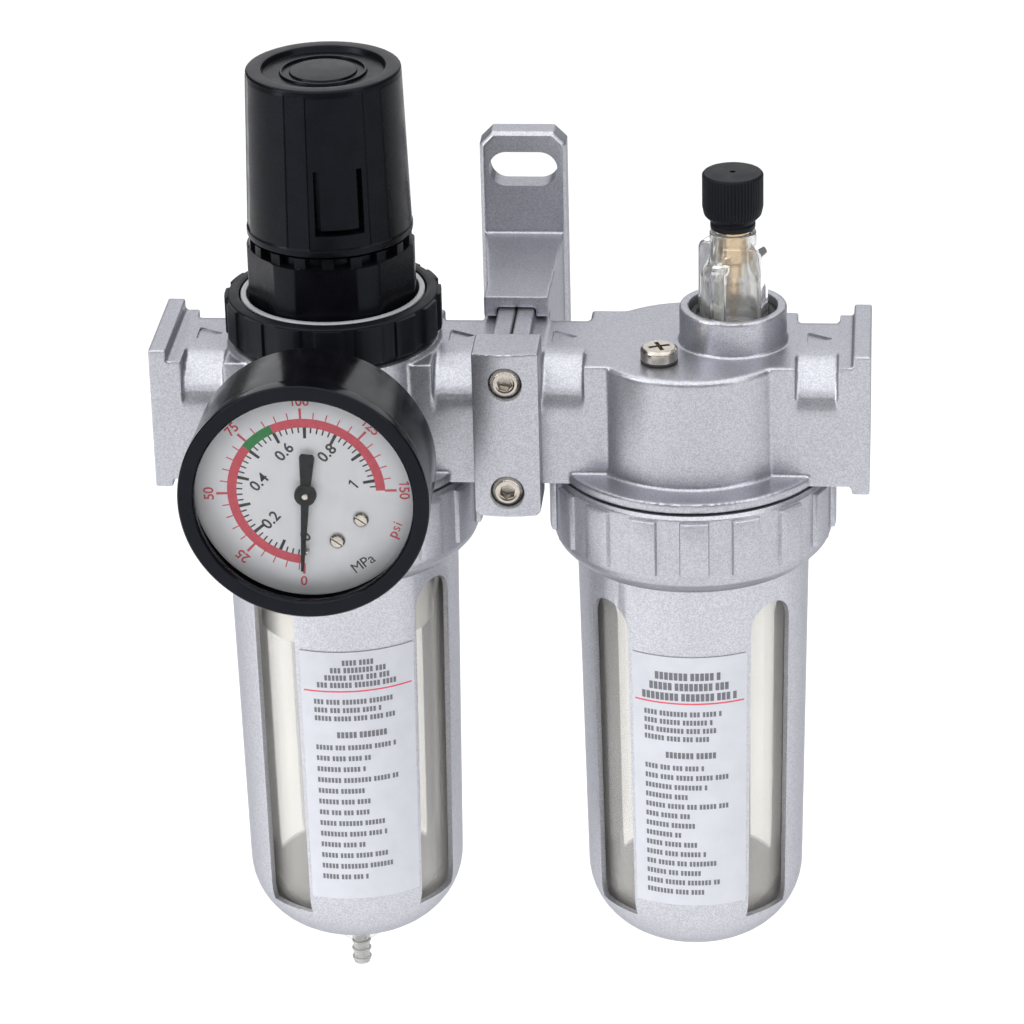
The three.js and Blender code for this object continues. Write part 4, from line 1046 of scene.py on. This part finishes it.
def label(node, x, turn_deg, body, seed, line_drop, reaches, notes, rows, foot):
    """A white sticker with a red level line and plain blocks where a maker would print words: centred lines
    above the red line, whose half widths in degrees are reaches, then notes, a heading and small print."""
    z0, z1 = heights(node)
    film = patch(x, turn_deg, -29.5, 29.5, z0, z1, 0.3, 0.12)
    stand_in(film, node, "film", STICKER, body, 60)
    line_z = z1 - line_drop
    level = patch(x, turn_deg, -28, 28, line_z - 0.17, line_z + 0.17, 0.36, 0.26)
    keep(level, node + "_level_line", body, [], RED, 60)
    rng = random.Random(seed)
    bars = []
    pitch = 1.95 if len(reaches) > 3 else 2.7
    for i, reach in enumerate(reaches):
        z = line_z + 1.7 + (len(reaches) - 1 - i) * pitch
        bars += word_bars(x, turn_deg, z, 0.72 * pitch, -reach, reach, rng)
    for i in range(notes):
        bars += word_bars(x, turn_deg, line_z - 2.8 - i * 2.2, 1.3, -23, rng.uniform(8, 20), rng)
    heading = line_z - 5 - notes * 2.2
    bars += word_bars(x, turn_deg, heading, 1.6, -12, 14, rng)
    print_top = heading - 3.4
    step = (print_top - (z0 + foot)) / (rows - 1)
    for i in range(rows):
        bars += word_bars(x, turn_deg, print_top - i * step, 1.3, -23, rng.uniform(-4, 22), rng)
    keep(gather(bars), node + "_plain_bars", body, [], GREY_INK, 60)


def bowl_unit(name, x, turn_deg, hole_r, drilled, window_top, **lines):
    """One side's ring, bowl, guard and label. turn_deg turns the guard, with its label, to the right."""
    body = name + "_bowl_unit"
    bowl_ring(name + "_ring", x, name + "_ring_nut")
    bowl(name + "_bowl", x, drilled, body)
    guard(name + "_guard", x, turn_deg, hole_r, body, window_top)
    label(name + "_label", x, turn_deg, body, **lines)


def drain():
    """The collar under the filter's bowl and the barbed drain nipple inside it."""
    collar = lathe(rounded([(3.7, -144.95, 0.2), (4.6, -144.95, 0.4), (4.75, -139, 0.8), (4.2, -136.95),
                            (2.2, -136.95), (2.2, -138), (3.7, -138)]), even(96), **ON_FILTER)
    stand_in(collar, "drain_collar", "turned", DOME_CLEAR, "filter_bowl_unit")
    barbs = []
    for i in range(3):
        z = -152.4 + i * 2.4
        barbs += [(1.95, z - 0.9), (2.4, z + 0.45), (2.38, z + 0.62), (1.95, z + 0.72)]
    nipple = [(0.9, -153.45), (1.6, -153.45), (1.8, -153.3), *barbs, (2.2, -145), (2.2, -143.5),
              (3.3, -143.2), (3.3, -142.4), (1.6, -142.2), (1.6, -133.6), (4.2, -133.5), (4.2, -131.65),
              (0, -131.65), (0, -135), (0.9, -135)]
    made = lathe(nipple, even(72), **ON_FILTER)
    stand_in(made, "drain_nipple", "moulding", MILKY, "drain", 40)


def filter_inside():
    """What shows through the filter bowl: deflector, element and baffle."""
    vane = lambda r, h, a: r - 1.2 * (0.5 + 0.5 * cos(16 * a)) if r > 20 and h > -36.8 else r
    profile = rounded([(11.9, -34), (12, -38), (18.8, -38), (19, -56, 0.3), (20.3, -56, 0.5),
                       (20.35, -37, 0.3), (20.35, -32.1, 0.3), (12, -32.1)])
    stand_in(lathe(profile, even(192), vane, **ON_FILTER), "deflector", "moulding", WHITE)
    element = oblong(7.5, 12, *heights("filter_element"), (0, 0.5, 0.5, 0))
    stand_in(lathe(element, **ON_FILTER), "filter_element", "sinter", sintered())
    cone = rounded([(0, -89.9), (4, -90.5, 1), (12.2, -92.4, 0.3), (12.5, -91.6, 0.3), (9, -86.6, 0.6),
                    (2.4, -86.6), (2.4, -25), (0, -25)])
    stand_in(lathe(cone, **ON_FILTER), "element_baffle", "moulding", WHITE)


# ---- lubricator head

def sight_dome():
    """The clear dome: a stepped shell with four wings, hollow inside, and its seal."""
    base = low("sight_dome").z
    made = lathe(rounded([(0, base), (9.85, base, 0.3), (9.85, base + 2.9, 0.5), (7.7, base + 3, 0.4),
                          (7.5, 30.4, 1.5), (5.5, 34.2, 1.2), (5.35, 41.05, 0.4), (0, 41.05)]), even(96))
    for i in range(4):
        rise = 34.5 if i % 2 else 38.2
        outline = rounded([(2.5, base + 2.5), (8.3, base + 2.5), (8.2, rise, 2.2), (3.85, rise, 1.5)], 8)
        wing = moved(prism(outline, -2.0, 2.0, axis="y"), Matrix.Scale(-1, 4, (0, 0, 1)))
        bevelled(wing, 0.7, 4)
        made = join(made, moved(wing, Matrix.Rotation(radians(90 * i - 26), 4, "Z")))
    inner = [(0, base - 1), (5.4, base - 1), (5.4, 29.6), (5.0, 30.6), (4.1, 32), (4.1, 42), (0, 42)]
    made = moved(cut(made, lathe(inner, even(72))), Matrix.Translation(ON_DOME["at"]))
    stand_in(made, "sight_dome", "moulding", DOME_CLEAR, sharp=40)
    seal = oblong(8.45, 9.95, *heights("sight_dome_seal"), (0.4, 0.4, 0.4, 0.4))
    seal_ring("sight_dome_seal", seal, **ON_DOME)


def drip_knob():
    """The knurled drip knob and the needle valve that it lifts."""
    bottom, top = heights("drip_knob")
    profile = rounded([(3.7, bottom), (5.15, bottom, 0.25), (5.2, bottom + 1.2, 0.2),
                       (4.9, bottom + 1.4, 0.1), (4.95, bottom + 1.8)], 4)
    profile += rounded([(5.2, bottom + 2.0), (6.6, bottom + 3.4, 1.5), (7.0, bottom + 5.4, 3),
                        (7.0, top - 0.6), (6.6, top - 0.1, 0.4), (0.7, top), (0.6, top - 0.6),
                        (0, top - 0.6)], 6)[:-1]
    profile += [(0, top - 0.6), (0, 50.35), (3.7, 50.35)]
    knurl = lambda r, h, a: r - 0.2 * max(0.0, cos(56 * a)) ** 0.6 if r > 5.5 and h < top - 0.5 else r
    made = lathe(list(dict.fromkeys(profile)), even(448), knurl, **ON_DOME)
    stand_in(made, "drip_knob", "moulding", KNURL_BLACK, "drip_adjuster", 35)
    valve = [(0, 19.6), (0.5, 20), (1.6, 24), (1.6, 29.6), (2.5, 30), (2.5, 33.6), (3.35, 34.1), (3.4, 34.4),
             (3.4, 37.4), (3.25, 37.6), (3.25, 38.2), (3.4, 38.4), (3.4, 50), (0, 50)]
    stand_in(lathe(valve, even(72), **ON_DOME), "needle_valve", "turned", BRASS, "drip_needle")


def fill_plug():
    """The filler plug with its crossed slots, and its seal."""
    x, y = axis_of("fill_plug")
    here = {"angles": even(96), "at": (x, y, 0)}
    seat, top = high("fill_plug_seal").z + 0.05, high("fill_plug").z
    head = rounded([(0, 2), (3, 2), (3, seat), (4.3, seat, 0.15), (4.3, top - 0.7, 0.4),
                    (3.7, top - 0.1, 0.4), (0, top)])
    made = lathe(head, **here)
    for turn in (20, 110):
        slot = block(-2.5, 2.5, -0.5, 0.5, top - 1.6, top + 1)
        turned = Matrix.Translation((x, y, 0)) @ Matrix.Rotation(radians(turn), 4, "Z")
        made = cut(made, moved(slot, turned))
    stand_in(made, "fill_plug", "turned", NICKEL, "plug")
    seal = oblong(3.3, 4.3, *heights("fill_plug_seal"), (0.2, 0.2, 0.2, 0.2))
    seal_ring("fill_plug_seal", seal, "plug_seal", **here)


def siphon_tube():
    section = oblong(1.2, 2.3, *heights("siphon_tube"), (0, 0.2, 0.2, 0))
    made = lathe(section, even(48), at=(*axis_of("siphon_tube"), 0))
    stand_in(made, "siphon_tube", "moulding", MILKY)


# ---- CAD pieces that stay, inside the unit

KEPT_FINISH = {
    "rubber": RUBBER, "steel": STEEL, "brass": BRASS, "white_plastic": WHITE, "black_gloss": GLOSS_BLACK,
    "nickel": NICKEL, "casting": PAINT, "black_plastic": BLACK, "clear_plastic": CLEAR, "print_white": DIAL,
}


def finish_kept_nodes():
    slots = {part["node"]: part["material_slot"] for part in frame["record"]["subparts"]}
    for name, node in frame["nodes"].items():
        node.data.materials.clear()
        node.data.materials.append(KEPT_FINISH[slots[name]])


# ---- studio

def studio():
    plane = prism([(-3000, -3000), (3000, -3000), (3000, 3000), (-3000, 3000)], -1, 0, at=(0, 0, -320))
    moved(plane, Matrix.Scale(MM, 4))
    plane.name = "studio_floor"
    plane.data.materials.append(moulded("studio_paper", (0.93, 0.93, 0.93), 0.9))
    world = bpy.data.worlds.new("studio")
    bpy.context.scene.world = world
    world.use_nodes = True
    background = world.node_tree.nodes["Background"]
    background.inputs["Color"].default_value = (0.95, 0.97, 1.0, 1)
    background.inputs["Strength"].default_value = 0.14
    add_lamp("overhead", (0.0, -0.5, 2.0), 4.5, 4.5, 118)
    add_lamp("back", (0.0, 3.2, 1.7), 3.6, 3.0, 36)
    add_lamp("key", (-1.35, -0.85, 0.45), 0.6, 1.1, 12)
    add_lamp("fill", (1.3, -0.9, 0.5), 0.4, 1.1, 4)


def add_lamp(name, place, wide, tall, power):
    """A soft box that faces the unit."""
    lamp = bpy.data.lights.new(name, "AREA")
    lamp.shape = "RECTANGLE"
    lamp.size, lamp.size_y = wide, tall
    lamp.energy = power
    made = placed(name, lamp)
    target = Vector((0, AXIS_Y * MM, -0.03))
    made.location = target + Vector(place)
    made.rotation_euler = (target - made.location).to_track_quat("-Z", "Y").to_euler()


def camera():
    """The photograph's view: 25 degrees above the port axis, 5 degrees to the right of straight ahead."""
    azimuth, elevation, roll = (radians(a) for a in (5.304, 24.911, -1.516))
    level = cos(elevation)
    back = Vector((sin(azimuth) * level, -cos(azimuth) * level, sin(elevation)))
    right = Vector((cos(azimuth), sin(azimuth), 0))
    up = back.cross(right)
    rolled = right * cos(roll) + up * sin(roll)
    above = up * cos(roll) - right * sin(roll)
    place = Vector((-1.24, AXIS_Y, -30.03)) * MM + back * 1.04848
    lens = bpy.data.cameras.new("camera")
    lens.lens = 156.23
    lens.sensor_width = 36
    lens.clip_start = 0.01
    made = placed("camera", lens)
    made.matrix_world = Matrix((*zip(rolled, above, back, place), (0, 0, 0, 1)))
    bpy.context.scene.camera = made
    bpy.context.scene.view_settings.view_transform = "Standard"


camera()
studio()
finish_kept_nodes()
filter_body()
lubricator_body()
seam_seal()
front_clamp()
wall_bracket()
clamp_screw("clamp_screw_upper", 12)
clamp_screw("clamp_screw_lower", 40)
bonnet_nut()
bonnet()
bright_ring()
knob()
gauge_shell()
gauge_dial()
gauge_needle()
small_screw("dial_screw_inner")
small_screw("dial_screw_outer")
stop_pin()
gauge_stem()
bowl_unit("filter", FILTER_X, 12.0, 5.6, True, -40.2,
          seed=4, line_drop=10.3, reaches=(8, 14, 17, 21), notes=3, rows=13, foot=6)
bowl_unit("lubricator", LUBE_X, 0.0, 4, False, -43.2,
          seed=5, line_drop=12.1, reaches=(17, 20, 24), notes=4, rows=14, foot=3.6)
drain()
filter_inside()
sight_dome()
drip_knob()
fill_plug()
siphon_tube()
